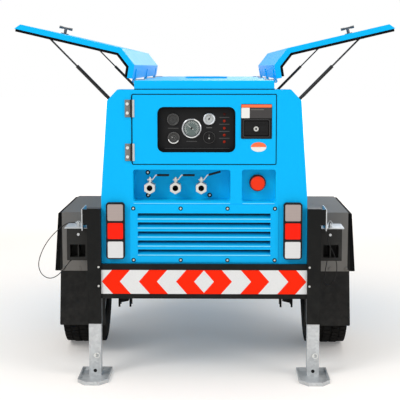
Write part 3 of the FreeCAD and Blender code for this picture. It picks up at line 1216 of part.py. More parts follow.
# ---------------------------------------------------------------- inside the canopy
ENGINE_LENGTH = 600.0
FAN_PLACE = RADIATOR_PLACE - 120.0
ENGINE_PLACE = FAN_PLACE - 80.0 - ENGINE_LENGTH
FAN_R, FAN_Z, FAN_SHAFT_R = 225.0, 880.0, 12.0
RECEIVER_X, RECEIVER_PLACE, RECEIVER_R = -215.0, 350.0, 150.0
AIREND_PLACE = RECEIVER_PLACE + RECEIVER_R + 100.0
CLEANER_X, CLEANER_Z, CLEANER_R, CLEANER_LENGTH = -300.0, 1010.0, 88.0, 330.0
CLEANER_MOUTH, CLEANER_CAP = 30.0, 24.0
CLEANER_PLACES = (BODY_LENGTH / 2 - ARCH / 2 - CLEANER_MOUTH - CLEANER_LENGTH,
                  BODY_LENGTH / 2 + ARCH / 2 + 80.0)      # either side of the lifting frame


def engine():
    """Four-cylinder block on four feet, with sump, head and ribbed rocker cover."""
    start, end = ENGINE_PLACE, ENGINE_PLACE + ENGINE_LENGTH
    block = section_y([(-130, 680), (130, 680), (150, 760), (140, 990), (-140, 990), (-150, 760)], start, end)
    sump = section_y([(-100, 570), (100, 570), (128, 680), (-128, 680)], start + 60, end - 40, 14.0)
    head = box(-125, 125, start + 20, end - 20, 990, 1075)
    cover = section_y(rectangle(-80, 80, 1075, 1130), start + 40, end - 40, 16.0)
    ports = [rod(125, start + 90 + 140 * i, 1035, X, 26.0, 40.0) for i in range(4)]
    manifold = [rod(180, start + 60, 1035, Y, 32.0, 500.0)]
    inlet = [rod(-125, start + 90 + 140 * i, 1040, -X, 22.0, 35.0) for i in range(4)]
    plenum = [rod(-175, start + 60, 1040, Y, 28.0, 500.0)]
    feet = []
    for p in (start + 70, end - 130):
        for side in (-1, 1):
            arm = [(side * 120, 720), (side * 240, 720), (side * 240, 700), (side * 120, 660)]
            feet.append(section_y(arm, p, p + 60))
            feet.append(rod(side * 205, p + 30, FLOOR_TOP, Z, 34.0, 700 - FLOOR_TOP))
    shape = fused([block, sump, head, cover] + ports + manifold + inlet + plenum + feet)
    save("diesel_engine", shape.cut(rod(0, end - 40, FAN_Z, Y, FAN_SHAFT_R + RUNNING, 60)))


def cooling_fan():
    """Belt pulley on the engine's front with a seven-blade fan on the same shaft."""
    hub = rod(0, FAN_PLACE - 8, FAN_Z, Y, 60.0, 50.0)
    blades = []
    for i in range(7):
        blade = box(-34, 34, FAN_PLACE - 4, FAN_PLACE + 1, FAN_Z + 50, FAN_Z + FAN_R)
        blade.rotate(V(0, at(FAN_PLACE), FAN_Z), Z, 28)
        blade.rotate(V(0, at(FAN_PLACE), FAN_Z), Y, 360.0 / 7 * i)
        blades.append(blade)
    engine_front = ENGINE_PLACE + ENGINE_LENGTH
    shaft = rod(0, engine_front - 30, FAN_Z, Y, FAN_SHAFT_R, FAN_PLACE - engine_front + 60)
    pulley = rod(0, engine_front + 12, FAN_Z, Y, 80.0, 26.0)
    save("cooling_fan", fused([hub, pulley, shaft] + blades))


def screw_airend():
    """Bell housing and the twin-bore screw casing bolted to the flywheel end."""
    bell_place = ENGINE_PLACE - 90.0
    length = bell_place - AIREND_PLACE
    middle = AIREND_PLACE + length / 2
    bell = Part.makeCone(150.0, 190.0, 90.0, V(0, at(bell_place), 830), Y)
    casing = rod(-62, AIREND_PLACE, 850, Y, 105.0, length).fuse(
        rod(62, AIREND_PLACE, 820, Y, 95.0, length))
    inlet = rod(-40, middle, 900, Z, 62.0, 140.0)
    foot = box(-60, 60, middle - 45, middle + 45, FLOOR_TOP, 760)
    save("screw_airend", fused([bell, casing, inlet, foot]))


def air_receiver():
    """Upright pressure vessel with domed ends, three legs and a lid ring."""
    x, place, radius = RECEIVER_X, RECEIVER_PLACE, RECEIVER_R
    shell = rod(x, place, 610, Z, radius, 470)
    domes = [Part.makeSphere(190.0, V(x, at(place), middle)).common(rod(x, place, low, Z, radius, 80))
             for middle, low in ((738, 540), (952, 1070))]
    lid = rod(x, place, 1125, Z, 80.0, 30.0)
    legs = [box(x + dx - 12, x + dx + 12, place + dy - 12, place + dy + 12, FLOOR_TOP, 640)
            for dx, dy in ((-100, -80), (100, -80), (0, 125))]
    outlet = rod(x + 60, VALVE_DEPTH + SHEET, VALVE_Z + 40, Y, 16.0, place - VALVE_DEPTH - SHEET - 80)
    save("air_receiver", fused([shell, lid, outlet] + domes + legs))


def cooler():
    """Finned core between two header tanks with the fan shroud ring behind it."""
    low, high, half = FLOOR_TOP, 1190.0, 340.0
    back, front, wide = RADIATOR_PLACE - 10, RADIATOR_PLACE + 100, half - 40
    core = box(-wide, wide, RADIATOR_PLACE, RADIATOR_PLACE + 90, low + 40, high - 30)
    fins = [box(-wide, wide, RADIATOR_PLACE + 90, RADIATOR_PLACE + 96, low + 60 + 44 * i, low + 66 + 44 * i)
            for i in range(13)]
    sides = [box(*sorted((side * wide, side * half)), back, front, low, high) for side in (-1, 1)]
    header = box(-half, half, back, front, high - 30, high)
    start, sill, inner = FAN_PLACE + 60, low + 20, half - SHEET
    hollow = box(-inner, inner, start + SHEET, RADIATOR_PLACE, sill + SHEET, high - SHEET)
    shroud = box(-half, half, start, back, sill, high).cut(hollow)
    shroud = shroud.cut(rod(0, FAN_PLACE + 50, FAN_Z, Y, FAN_R + 15, 40))
    ring = pipe(0, FAN_PLACE - 20, FAN_Z, Y, FAN_R + 18, FAN_R + 15, 82)
    save("cooler", fused([core, header] + sides + fins), fused([shroud, ring]))


def exhaust_silencer():
    """Silencer along the engine's right with its inlet elbow and outlet to the floor."""
    start = ENGINE_PLACE + 40
    can = rod(285, start, 960, Y, 75.0, 430.0)
    can = can.makeFillet(12.0, [edge for edge in can.Edges if len(edge.Vertexes) == 1])
    inlet = rod(212, start + 260, 1035, X, 20.0, 73.0)
    rise = rod(285, start + 260, 960, Z, 24.0, 105.0)
    outlet = rod(285, start + 60, FLOOR_TOP, Z, 24.0, 400.0)
    save("exhaust_silencer", fused([can, inlet, rise, outlet]))


def air_cleaners():
    """Two canisters on a cradle over the left of the engine."""
    pieces = []
    leg = [(CLEANER_X - 70, FLOOR_TOP), (CLEANER_X - 40, FLOOR_TOP), (CLEANER_X - 30, CLEANER_Z - 80),
           (CLEANER_X - 60, CLEANER_Z - 50)]
    for place in CLEANER_PLACES:
        can = rod(CLEANER_X, place, CLEANER_Z, Y, CLEANER_R, CLEANER_LENGTH)
        cap = rod(CLEANER_X, place - CLEANER_CAP, CLEANER_Z, Y, CLEANER_R - 10, CLEANER_CAP)
        mouth = rod(CLEANER_X, place + CLEANER_LENGTH, CLEANER_Z, Y, 40.0, CLEANER_MOUTH)
        legs = [section_y(leg, p, p + 24) for p in (place + 40, place + 260)]
        pieces.append(fused([can, cap, mouth] + legs))
    save("air_cleaners", *pieces)


def fuel_tank():
    tank = section_z(rectangle(60, 400, 180, 520), FLOOR_TOP, 770, 30.0)
    neck = rod(330, 300, 770, Z, 32.0, 46.0)
    cap = rod(330, 300, 816, Z, 42.0, 22.0)
    save("fuel_tank", fused([tank, neck, cap]))


def battery():
    """Case with two posts on the floor between the legs of the second air cleaner."""
    place, x = CLEANER_PLACES[1] + 85.0, -330.0
    case = box(x - 85, x + 85, place, place + 150, FLOOR_TOP, 700)
    posts = [rod(x + dx, place + 40, 700, Z, 9.0, 16.0) for dx in (-55, 55)]
    save("battery", fused([case] + posts))


# ---------------------------------------------------------------- build
os.makedirs("parts", exist_ok=True)
chassis_rails()
cross_members()
chevron_board()
jacks()
running_gear()
drawbar()
canopy_base()
side_panels()
rear_panel()
front_panel()
roof_panel()
save("hinge_leaves", *(doors() + control_hinges()))
control_door()
latch_paddle()
instruments(instrument_panel())
save("panel_bolts", *(recesses() + louvre_panel()))
valves()
lamps()
engine()
cooling_fan()
screw_airend()
air_receiver()
cooler()
exhaust_silencer()
air_cleaners()
fuel_tank()
battery()
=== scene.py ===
# %% [markdown]
# # A towable compressor, dressed for the camera
# The solids of the machine were made in a CAD program and packed as a frame.  This notebook loads
# that frame and gives it looks: light, camera, finishes and the small pieces that a CAD model leaves
# out.  Lengths are metres, X points right seen from the rear, Y forward to the tow eye and Z up.

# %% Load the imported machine
import json
import math

import bmesh
import bpy
from mathutils import Matrix, Vector


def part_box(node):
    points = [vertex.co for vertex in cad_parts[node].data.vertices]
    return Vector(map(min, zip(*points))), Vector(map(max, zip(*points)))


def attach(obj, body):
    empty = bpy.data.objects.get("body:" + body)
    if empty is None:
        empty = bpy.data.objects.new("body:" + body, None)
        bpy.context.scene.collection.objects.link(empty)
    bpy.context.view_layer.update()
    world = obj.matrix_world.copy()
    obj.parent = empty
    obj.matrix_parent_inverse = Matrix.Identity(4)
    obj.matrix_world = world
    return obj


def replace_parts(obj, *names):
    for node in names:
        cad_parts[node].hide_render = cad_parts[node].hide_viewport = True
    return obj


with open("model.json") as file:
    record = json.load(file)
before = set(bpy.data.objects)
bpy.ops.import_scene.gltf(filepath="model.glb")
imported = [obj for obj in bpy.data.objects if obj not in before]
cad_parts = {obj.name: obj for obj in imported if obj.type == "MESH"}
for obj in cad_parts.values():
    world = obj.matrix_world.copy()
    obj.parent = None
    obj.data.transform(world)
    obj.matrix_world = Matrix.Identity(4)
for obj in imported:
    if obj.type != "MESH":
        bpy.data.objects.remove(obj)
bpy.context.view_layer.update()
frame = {"nodes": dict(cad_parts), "record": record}
SCENE = bpy.context.scene
print("nodes in the frame:", len(frame["nodes"]))

# %% [markdown]
# ## Where the camera stands
# The photograph is taken from behind, nearly straight on, from a little above the roof.  A camera can
# be placed by eye, but here the edges that run forward meet at one point in the picture, which gives
# the two angles, and the widths of the rear panel and the ground under the jacks give the distance.

# %% Camera
CAMERA_PLACE = Vector((0.057, -6.508, 1.380))
YAW, PITCH = math.radians(0.86), math.radians(6.68)      # to the left, and down
FOCAL = 102.24                                           # millimetres on a 36 mm sensor


def make_camera():
    data = bpy.data.cameras.new("camera")
    data.lens, data.sensor_width = FOCAL, 36.0
    data.clip_start, data.clip_end = 0.05, 200.0
    camera = bpy.data.objects.new("camera", data)
    camera.location = CAMERA_PLACE
    camera.rotation_euler = (math.pi / 2 - PITCH, 0.0, YAW)
    SCENE.collection.objects.link(camera)
    SCENE.camera = camera


make_camera()
print("camera is", round(CAMERA_PLACE.y, 3), "m from the middle of the machine")

# %% [markdown]
# ## Shader maths as Python
# A material is a graph of nodes.  Wiring each node by hand is slow to read, so a small class wraps an
# output socket and turns `a * 2 + b` into Math nodes.  Numbers that meet only numbers stay in Python.
# Every other node comes from one function, which sets the node's own choices first and then its
# sockets.

# %% A socket that can be added and multiplied
class Wire:
    """One output socket of a material, with the operators that the finishes use."""

    def __init__(self, tree, socket):
        self.tree, self.socket = tree, socket

    def math(self, operation, *others):
        return node(self.tree, "ShaderNodeMath", {"operation": operation},
                    dict(enumerate((self,) + others)))

    def __add__(self, other):
        return self.math("ADD", other)

    def __sub__(self, other):
        return self.math("SUBTRACT", other)

    def __rsub__(self, other):
        return (self * -1.0) + other

    def __mul__(self, other):
        return self.math("MULTIPLY", other)

    def __truediv__(self, other):
        return self.math("DIVIDE", other)

    def __lt__(self, other):
        return self.math("LESS_THAN", other)

    def __gt__(self, other):
        return self.math("GREATER_THAN", other)

    __radd__, __rmul__ = __add__, __mul__

    def within(self, low, high):
        """1 between low and high, 0 elsewhere."""
        return (self > low) * (self < high)

    def spread(self, low, high, start=0.0, end=1.0):
        """Maps low..high to start..end and stops at the ends."""
        return node(self.tree, "ShaderNodeMapRange", {"clamp": True},
                    {"Value": self, "From Min": low, "From Max": high, "To Min": start, "To Max": end})


def node(tree, kind, settings=None, sockets=None, output=0):
    """Adds a node: its settings first, then the values or wires of its sockets."""
    made = tree.nodes.new(kind)
    for name, value in (settings or {}).items():
        if name == "stops":
            set_stops(made.color_ramp, value)
        else:
            setattr(made, name, value)
    for name, value in (sockets or {}).items():
        if isinstance(value, Wire):
            tree.links.new(value.socket, made.inputs[name])
        else:
            made.inputs[name].default_value = value
    return Wire(tree, made.outputs[output])


def set_stops(ramp, stops):
    """Gives a colour ramp its stops, as pairs of a place and a colour."""
    while len(ramp.elements) < len(stops):
        ramp.elements.new(1.0)
    for element, (place, colour) in zip(ramp.elements, stops):
        element.position, element.color = place, (*colour, 1.0)


# %% [markdown]
# ## Patterns that every finish shares
# All patterns are read from Object coordinates.  Each piece has its place in its mesh and its object
# at the origin, so one millimetre of pattern is one millimetre of metal, and it doesn't slide when a
# door opens.

# %% Coordinates, noise, cells and mixes
def coordinates(tree):
    return node(tree, "ShaderNodeTexCoord", output=3)


def axes(tree, vector):
    """The x, y and z of a vector as three wires."""
    split = node(tree, "ShaderNodeSeparateXYZ", None, {"Vector": vector}).socket.node
    return [Wire(tree, split.outputs[i]) for i in range(3)]


def noise(tree, vector, size, detail=2.0, rough=0.5):
    """Cloudy noise from 0 to 1 whose patches are about size metres."""
    return node(tree, "ShaderNodeTexNoise", None,
                {"Vector": vector, "Scale": 1.0 / size, "Detail": detail, "Roughness": rough})


def crystals(tree, vector, size, feature="F1", output=1):
    """Random cells about size metres across: output 0 is distance, 1 is a colour for each."""
    return node(tree, "ShaderNodeTexVoronoi", {"feature": feature},
                {"Vector": vector, "Scale": 1.0 / size}, output)


def mix(tree, factor, first, second):
    """A colour between two colours."""
    return node(tree, "ShaderNodeMix", {"data_type": "RGBA"},
                {0: factor, 6: first if isinstance(first, Wire) else (*first, 1.0),
                 7: second if isinstance(second, Wire) else (*second, 1.0)}, output=2)


def bump(tree, height, depth, strength=1.0):
    """A Normal that raises the surface by depth metres where height is 1."""
    return node(tree, "ShaderNodeBump", None,
                {"Height": height, "Distance": depth, "Strength": strength})


def stretched(tree, vector, scale):
    """The vector scaled along each axis, for brushed or drawn grain."""
    return node(tree, "ShaderNodeMapping", {"vector_type": "POINT"}, {"Vector": vector, "Scale": scale})


def srgb(red, green, blue):
    """A colour read from a screen, 0 to 255, as the linear light that Blender works in."""
    return tuple((c / 255 / 12.92) if c <= 10 else ((c / 255 + 0.055) / 1.055) ** 2.4
                 for c in (red, green, blue))


def new_finish(name):
    """An empty material: its node tree and its object."""
    material = bpy.data.materials.new(name)
    material.use_nodes = True
    material.node_tree.nodes.clear()
    return material, material.node_tree


def surface(material, tree, sockets):
    """Ends a material in one Principled shader."""
    values = {name: (*value, 1.0) if isinstance(value, tuple) and len(value) == 3 else value
              for name, value in sockets.items()}
    shader = node(tree, "ShaderNodeBsdfPrincipled", None, values)
    output = tree.nodes.new("ShaderNodeOutputMaterial")
    tree.links.new(shader.socket, output.inputs["Surface"])
    return material


# %% [markdown]
# ## A white studio
# The machine stands on a white floor before a white wall, with a soft grey shadow below it.  A curved
# backdrop is one way.  Here the floor is a plane and the world is the wall, which never shows a
# crease.  To the camera, glass and metal the world is white; to everything else it is a dimmer sky,
# so that the blue paint isn't washed out.

# %% World, floor and lamps
SKY, WALL = 0.62, 1.0                       # strength on the object, and as the camera sees it
FLOOR_SIZE = 90.0
FLOOR_GLOW = 0.16                           # brings the lit floor to white in the picture
GLOW_GROWS = (3.0, 14.0)                    # metres over which the far floor takes over from the lamps
FLOOR_COLOUR = (0.885, 0.845, 0.80)           # warm, against the blue light that the canopy throws on it


def seen_directly(tree):
    """1 for rays from the camera, from glossy surfaces and through glass."""
    path = node(tree, "ShaderNodeLightPath").socket.node
    camera, glossy, through = (Wire(tree, path.outputs[name]) for name in
                               ("Is Camera Ray", "Is Glossy Ray", "Is Transmission Ray"))
    return camera.math("MAXIMUM", glossy.math("MAXIMUM", through))


def make_world():
    world = bpy.data.worlds.new("studio")
    world.use_nodes = True
    tree = world.node_tree
    tree.nodes.clear()
    strength = seen_directly(tree).spread(0.0, 1.0, SKY, WALL)
    sky = node(tree, "ShaderNodeBackground", None, {"Color": (1, 1, 1, 1), "Strength": strength})
    tree.links.new(sky.socket, tree.nodes.new("ShaderNodeOutputWorld").inputs["Surface"])
    SCENE.world = world


def make_floor():
    mesh = bpy.data.meshes.new("floor")
    half = FLOOR_SIZE / 2
    mesh.from_pydata([(-half, -half, 0), (half, -half, 0), (half, half, 0), (-half, half, 0)],
                     [], [(0, 1, 2, 3)])
    floor = bpy.data.objects.new("floor", mesh)
    SCENE.collection.objects.link(floor)
    material, tree = new_finish("studio_floor")
    away = node(tree, "ShaderNodeVectorMath", {"operation": "LENGTH"}, {0: coordinates(tree)}, output=1)
    glow = seen_directly(tree) * away.spread(*GLOW_GROWS, FLOOR_GLOW, 1.0)
    matt = node(tree, "ShaderNodeBsdfDiffuse", None, {"Color": (*FLOOR_COLOUR, 1)})
    lit = node(tree, "ShaderNodeEmission", None, {"Strength": glow})
    both = node(tree, "ShaderNodeAddShader", None, {0: matt, 1: lit})
    tree.links.new(both.socket, tree.nodes.new("ShaderNodeOutputMaterial").inputs["Surface"])
    mesh.materials.append(material)


# name, place, the point it looks at, size, watts
LAMPS = (("key", (-3.4, -5.2, 4.6), (0.0, -1.2, 0.8), 3.2, 165.0),
         ("fill", (4.6, -4.2, 3.2), (0.0, -1.0, 0.7), 3.6, 105.0),
         ("top", (0.0, 0.2, 6.0), (0.0, 0.0, 1.0), 5.0, 95.0),
         ("behind", (1.5, 6.5, 3.6), (0.0, 0.5, 0.8), 3.6, 85.0))


def make_lamp(name, place, target, size, watts):
    data = bpy.data.lights.new(name, "AREA")
    data.shape, data.size, data.energy = "DISK", size, watts
    lamp = bpy.data.objects.new(name, data)
    lamp.location = place
    lamp.rotation_euler = (Vector(target) - Vector(place)).to_track_quat("-Z", "Y").to_euler()
    SCENE.collection.objects.link(lamp)


make_world()
make_floor()
for lamp in LAMPS:
    make_lamp(*lamp)
SCENE.view_settings.view_transform = "Standard"
print("lamps:", [name for name, *rest in LAMPS])

# %% [markdown]
# ## Finishes
# Most of the machine is painted, plated or moulded, and those finishes differ only in numbers: a
# colour with a faint cloudiness, a roughness that is never quite even, and a fine grain in the
# surface.  One function makes them all from those numbers.  Dust settles low on a trailer, so the
# painted finishes take a little of it near the ground.

# %% Painted, plated and moulded finishes
DUST = srgb(150, 146, 138)
DUST_LOW, DUST_HIGH = 0.05, 0.75           # heights between which the dust fades out


def plain(name, colour, rough, metal=0.0, grain=0.002, depth=0.00004, uneven=0.04, mottle=0.05,
          coat=0.0, dust=0.0, shine=0.3):
    """A finish of one colour: cloudy to mottle, rough to rough +- uneven, grained to depth."""
    material, tree = new_finish(name)
    place = coordinates(tree)
    cloud = noise(tree, place, 0.16, 3.0)
    fine = noise(tree, place, grain, 3.0, 0.6)
    dark = tuple(c * (1.0 - mottle) for c in colour)
    light = tuple(min(1.0, c * (1.0 + mottle)) for c in colour)
    tint = mix(tree, cloud, dark, light)
    sockets = {"Metallic": metal, "Specular IOR Level": shine,
               "Roughness": (cloud * 0.5 + fine * 0.5).spread(0.3, 0.7, rough - uneven, rough + uneven),
               "Normal": bump(tree, fine, depth)}
    if dust:
        low = axes(tree, place)[2].spread(DUST_LOW, DUST_HIGH, dust, 0.0)
        tint = mix(tree, low * noise(tree, place, 0.05, 4.0, 0.7).spread(0.35, 0.65), tint, DUST)
    if coat:
        sockets |= {"Coat Weight": coat, "Coat Roughness": 0.12}
    return surface(material, tree, sockets | {"Base Color": tint})


FINISH = {
    "canopy_blue": plain("canopy_blue", srgb(6, 178, 243), 0.42, grain=0.0024, depth=0.00002,
                         mottle=0.012, dust=0.03, shine=0.08),
    "fender_grey": plain("fender_grey", srgb(118, 115, 111), 0.62, grain=0.0016, depth=0.00012,
                         dust=0.1, shine=0.12),
    "chassis_black": plain("chassis_black", srgb(15, 16, 16), 0.42, grain=0.003, depth=0.00005,
                           dust=0.04, shine=0.12),
    "rubber": plain("rubber", srgb(11, 11, 12), 0.8, grain=0.0012, depth=0.0001, dust=0.04, shine=0.06),
    "flap_rubber": plain("flap_rubber", srgb(23, 23, 23), 0.6, grain=0.002, depth=0.0001, dust=0.06,
                         shine=0.15),
    "chock_rubber": plain("chock_rubber", srgb(40, 40, 39), 0.65, grain=0.0015, depth=0.00012, dust=0.08,
                          shine=0.15),
    "moulded_black": plain("moulded_black", srgb(22, 22, 23), 0.5, grain=0.0009, depth=0.0001, shine=0.15),
    "engine_paint": plain("engine_paint", srgb(86, 92, 98), 0.5, grain=0.0035, depth=0.00025,
                          mottle=0.1),
    "cast_iron": plain("cast_iron", srgb(70, 72, 74), 0.62, metal=0.4, grain=0.003, depth=0.0003,
                       mottle=0.15),
    # The recesses' blue: the canopy's blue made lighter, painted light that makes up for their shade.
    "recess_blue": plain("recess_blue", srgb(8, 206, 255), 0.42, grain=0.0024, depth=0.00002,
                         mottle=0.012, shine=0.08),
    # A paler, glossier blue for rolled lips: a painted highlight along their edges.
    "lip_blue": plain("lip_blue", srgb(120, 220, 252), 0.3, grain=0.0024, depth=0.00002, shine=0.3),
    "strut_black": plain("strut_black", srgb(12, 12, 13), 0.3, grain=0.004, depth=0.00002, shine=0.3),
    "strut_steel": plain("strut_steel", srgb(54, 55, 57), 0.35, metal=0.5, mottle=0.08),
    "tank_black": plain("tank_black", srgb(52, 54, 56), 0.38, grain=0.003, depth=0.00006, coat=0.1,
                        shine=0.2),
    "aluminium": plain("aluminium", srgb(190, 193, 196), 0.4, metal=0.95, grain=0.002,
                       depth=0.00006, uneven=0.08),
    "zinc": plain("zinc", srgb(186, 187, 184), 0.34, metal=0.7, grain=0.0015, uneven=0.08, mottle=0.08,
                  shine=0.5),
    "nickel": plain("nickel", srgb(198, 197, 193), 0.3, metal=0.75, grain=0.004, uneven=0.12, mottle=0.12,
                    shine=0.5),
    "chrome": plain("chrome", srgb(172, 175, 178), 0.16, metal=0.95, grain=0.004, depth=0.00002,
                    uneven=0.05, mottle=0.08),
    "steel_dark": plain("steel_dark", srgb(92, 94, 96), 0.42, metal=0.8, mottle=0.12),
    "hinge_grey": plain("hinge_grey", srgb(120, 121, 118), 0.5, metal=0.3, mottle=0.08),
    "rim_silver": plain("rim_silver", srgb(170, 174, 176), 0.35, metal=0.5, grain=0.002, mottle=0.05,
                        dust=0.2),
    "stop_red": plain("stop_red", srgb(236, 52, 18), 0.35, grain=0.003, depth=0.00002, mottle=0.03,
                      shine=0.15),
    "stop_collar": plain("stop_collar", srgb(84, 46, 40), 0.4, grain=0.003, depth=0.00002, shine=0.2),
    "label_white": plain("label_white", srgb(226, 227, 224), 0.45, mottle=0.02, coat=0.1, shine=0.2),
    "label_orange": plain("label_orange", srgb(242, 112, 66), 0.45, mottle=0.02, coat=0.1, shine=0.2),
    "label_grey": plain("label_grey", srgb(58, 56, 56), 0.45, mottle=0.06, coat=0.1, shine=0.2),
    "grip_black": plain("grip_black", srgb(20, 20, 21), 0.4, grain=0.001, depth=0.00008, shine=0.2),
    "gauge_black": plain("gauge_black", srgb(30, 30, 31), 0.3, grain=0.002, shine=0.5),
    "dial_dark": plain("dial_dark", srgb(36, 38, 38), 0.35, mottle=0.1, coat=0.3),
    "dial_green": plain("dial_green", srgb(84, 98, 96), 0.35, mottle=0.12, coat=0.4),
    "dial_silver": plain("dial_silver", srgb(184, 188, 188), 0.35, mottle=0.05, coat=0.4),
    "mark_white": plain("mark_white", srgb(214, 216, 214), 0.5, mottle=0.03),
    "mark_grey": plain("mark_grey", srgb(92, 92, 90), 0.5, mottle=0.05),
}
print("plain finishes:", len(FINISH))

# %% [markdown]
# ## Hot-dip galvanising
# The legs and brackets were dipped in molten zinc, which freezes in crystals a centimetre across.
# Each crystal reflects a little differently.  Painting that by hand would take a texture; Voronoi
# cells give it from the coordinates alone, with one random brightness and roughness for each cell.

# %% Galvanised steel
SPANGLE = 0.011


def galvanised():
    material, tree = new_finish("galvanised")
    place = coordinates(tree)
    warped = noise(tree, place, 0.03, 2.0) * 0.01
    moved = node(tree, "ShaderNodeVectorMath", {"operation": "ADD"}, {0: place, 1: warped})
    crystal = axes(tree, crystals(tree, moved, SPANGLE))[0]
    frost = noise(tree, place, 0.004, 3.0, 0.6)
    colour = mix(tree, (crystal * 0.6 + frost * 0.4).spread(0.15, 0.85), srgb(182, 185, 187),
                 srgb(202, 205, 206))
    return surface(material, tree, {
        "Base Color": colour, "Metallic": 0.5,
        "Roughness": (crystal * 0.5 + frost * 0.5).spread(0.2, 0.8, 0.38, 0.54),
        "Normal": bump(tree, frost, 0.00004)})


FINISH["galvanised"] = galvanised()

# %% [markdown]
# ## Places on the machine
# The CAD source gives places in millimetres: across, forward of the rear panel, and up.  The same
# three numbers are used here, so that a screw or a wire can be set against the drawing.

# %% Millimetres from the rear panel to metres in the frame
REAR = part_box("rear_panel")[0].y            # outer face of the rear panel


def at(x, place, z):
    """A point x across, place forward of the rear panel and z up, in millimetres."""
    return Vector((x / 1000, REAR + place / 1000, z / 1000))


def link(name, mesh):
    """A new object that holds a mesh and sits at the origin."""
    piece = bpy.data.objects.new(name, mesh)
    SCENE.collection.objects.link(piece)
    return piece


def coat_with(piece, finish):
    piece.data.materials.clear()
    piece.data.materials.append(FINISH[finish])
    return piece


print("rear panel stands at y =", round(REAR, 4))

# %% [markdown]
# ## The wire lanyards of the wheel chocks
# Each chock hangs on a thin wire so that it isn't lost.  The wire is stiff enough to bow out beside
# the fender and springy enough to come back up to the chock.  It could be a plain bevelled curve, but
# a wire rope is a bundle of twisted strands, and the twist is what catches the light.  So the smooth
# line comes from a NURBS curve, and a lobed ring is carried along it, turning a little at each step.

# %% Lanyards
LANYARD_R = 0.002
STRANDS, RING, LAY_LENGTH = 6, 24, 0.022     # strands, points round a ring, metres for one turn
LEFT_ROUTE = [(-582, 78, 681), (-608, 74, 684), (-640, 64, 668), (-678, 50, 634), (-712, 38, 592),
              (-736, 27, 541), (-745, 20, 498), (-735, 18, 462), (-711, 20, 439), (-684, 26, 435),
              (-658, 36, 448), (-636, 48, 471), (-618, 58, 494), (-606, 63, 509)]
RIGHT_ROUTE = [(566, 64, 692), (563, 40, 696), (558, 18, 682), (553, 9, 655), (548, 7, 622),
               (558, 8, 590), (576, 10, 561), (588, 12, 526), (594, 13, 493), (592, 15, 461),
               (583, 20, 432), (569, 31, 409), (553, 49, 401), (544, 68, 413), (545, 83, 439),
               (551, 90, 473), (557, 93, 509)]


def smooth_line(route):
    """The points of a NURBS curve whose control points are the route's."""
    curve = bpy.data.curves.new("route", "CURVE")
    curve.dimensions, curve.resolution_u = "3D", 14
    spline = curve.splines.new("NURBS")
    spline.points.add(len(route) - 1)
    for point, place in zip(spline.points, route):
        point.co = (*at(*place), 1.0)
    spline.order_u, spline.use_endpoint_u = 3, True
    holder = link("route", curve)
    graph = bpy.context.evaluated_depsgraph_get()
    mesh = bpy.data.meshes.new_from_object(holder.evaluated_get(graph))
    line = [vertex.co.copy() for vertex in mesh.vertices]
    bpy.data.objects.remove(holder)
    return line


def wire_rope(name, line):
    """Twisted strands that follow a line, closed at both ends."""
    points, faces, travelled = [], [], 0.0
    across = (line[1] - line[0]).orthogonal().normalized()
    for i, middle in enumerate(line):
        ahead = (line[min(i + 1, len(line) - 1)] - line[max(i - 1, 0)]).normalized()
        across = (across - ahead * across.dot(ahead)).normalized()
        side = ahead.cross(across)
        travelled += (middle - line[i - 1]).length if i else 0.0
        twist = 2 * math.pi * travelled / LAY_LENGTH
        for j in range(RING):
            angle = 2 * math.pi * j / RING
            radius = LANYARD_R * (0.86 + 0.14 * math.cos(STRANDS * angle - STRANDS * twist))
            points.append(middle + (across * math.cos(angle) + side * math.sin(angle)) * radius)
    for i in range(len(line) - 1):
        for j in range(RING):
            a, b = i * RING + j, i * RING + (j + 1) % RING
            faces.append((a, b, b + RING, a + RING))
    last = (len(line) - 1) * RING
    faces += [tuple(reversed(range(RING))), tuple(range(last, last + RING))]
    mesh = bpy.data.meshes.new(name)
    mesh.from_pydata(points, [], faces)
    mesh.shade_smooth()
    return link(name, mesh)


def make_lanyard(side, route):
    line = smooth_line(route)
    rope = wire_rope(side + "_lanyard_wire", line)
    coat_with(rope, "wire_steel")
    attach(rope, "chassis")
    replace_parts(rope, side + "_lanyard")
    at(*route[0])
    return round(sum((b - a).length for a, b in zip(line, line[1:])), 3)


FINISH["wire_steel"] = plain("wire_steel", srgb(24, 24, 25), 0.45, metal=0.3, grain=0.001)
print("left lanyard measures", make_lanyard("left", LEFT_ROUTE), "m")
print("right lanyard measures", make_lanyard("right", RIGHT_ROUTE), "m")

# %% [markdown]
# ## The marker board
# A red and white board across the back warns drivers.  Its sheeting is a pattern printed by rule:
# arrows point outwards from a diamond in the middle.  The arrows could be cut as separate pieces, but
# as one sheet of film they have no edges, so the pattern belongs in the material.  Folding x about the
# middle and adding the height above or below the middle gives slanted stripes, and the fraction of a
# pitch says which are red.

# %% Reflective sheeting with arrows
BOARD_MIDDLE, BOARD_HALF = 0.4315, 0.0505    # height of the middle, half of the height
DIAMOND, ARROW_PITCH, RED_SHARE = 0.044, 0.1653, 0.487
CELL = 0.0042                                # prisms in the film


def board_sheeting():
    material, tree = new_finish("board_sheeting")
    place = coordinates(tree)
    x, y, z = axes(tree, place)
    slant = (z - BOARD_MIDDLE).math("ABSOLUTE") * (DIAMOND / BOARD_HALF)
    along = (x.math("ABSOLUTE") + slant - DIAMOND) / ARROW_PITCH
    red = (along > 0.0) * (along.math("FRACT") < RED_SHARE)
    lines = [((x + z * sign) / CELL).math("FRACT") < 0.12 for sign in (1.0, -1.0)]
    lattice = lines[0].math("MAXIMUM", lines[1])
    white = mix(tree, lattice, srgb(224, 225, 225), srgb(208, 209, 210))
    scarlet = mix(tree, lattice, srgb(250, 38, 0), srgb(228, 36, 4))
    return surface(material, tree, {
        "Base Color": mix(tree, red, white, scarlet), "Roughness": 0.45, "Specular IOR Level": 0.1, "Normal": bump(tree, lattice, 0.00008)})


FINISH["board_sheeting"] = board_sheeting()
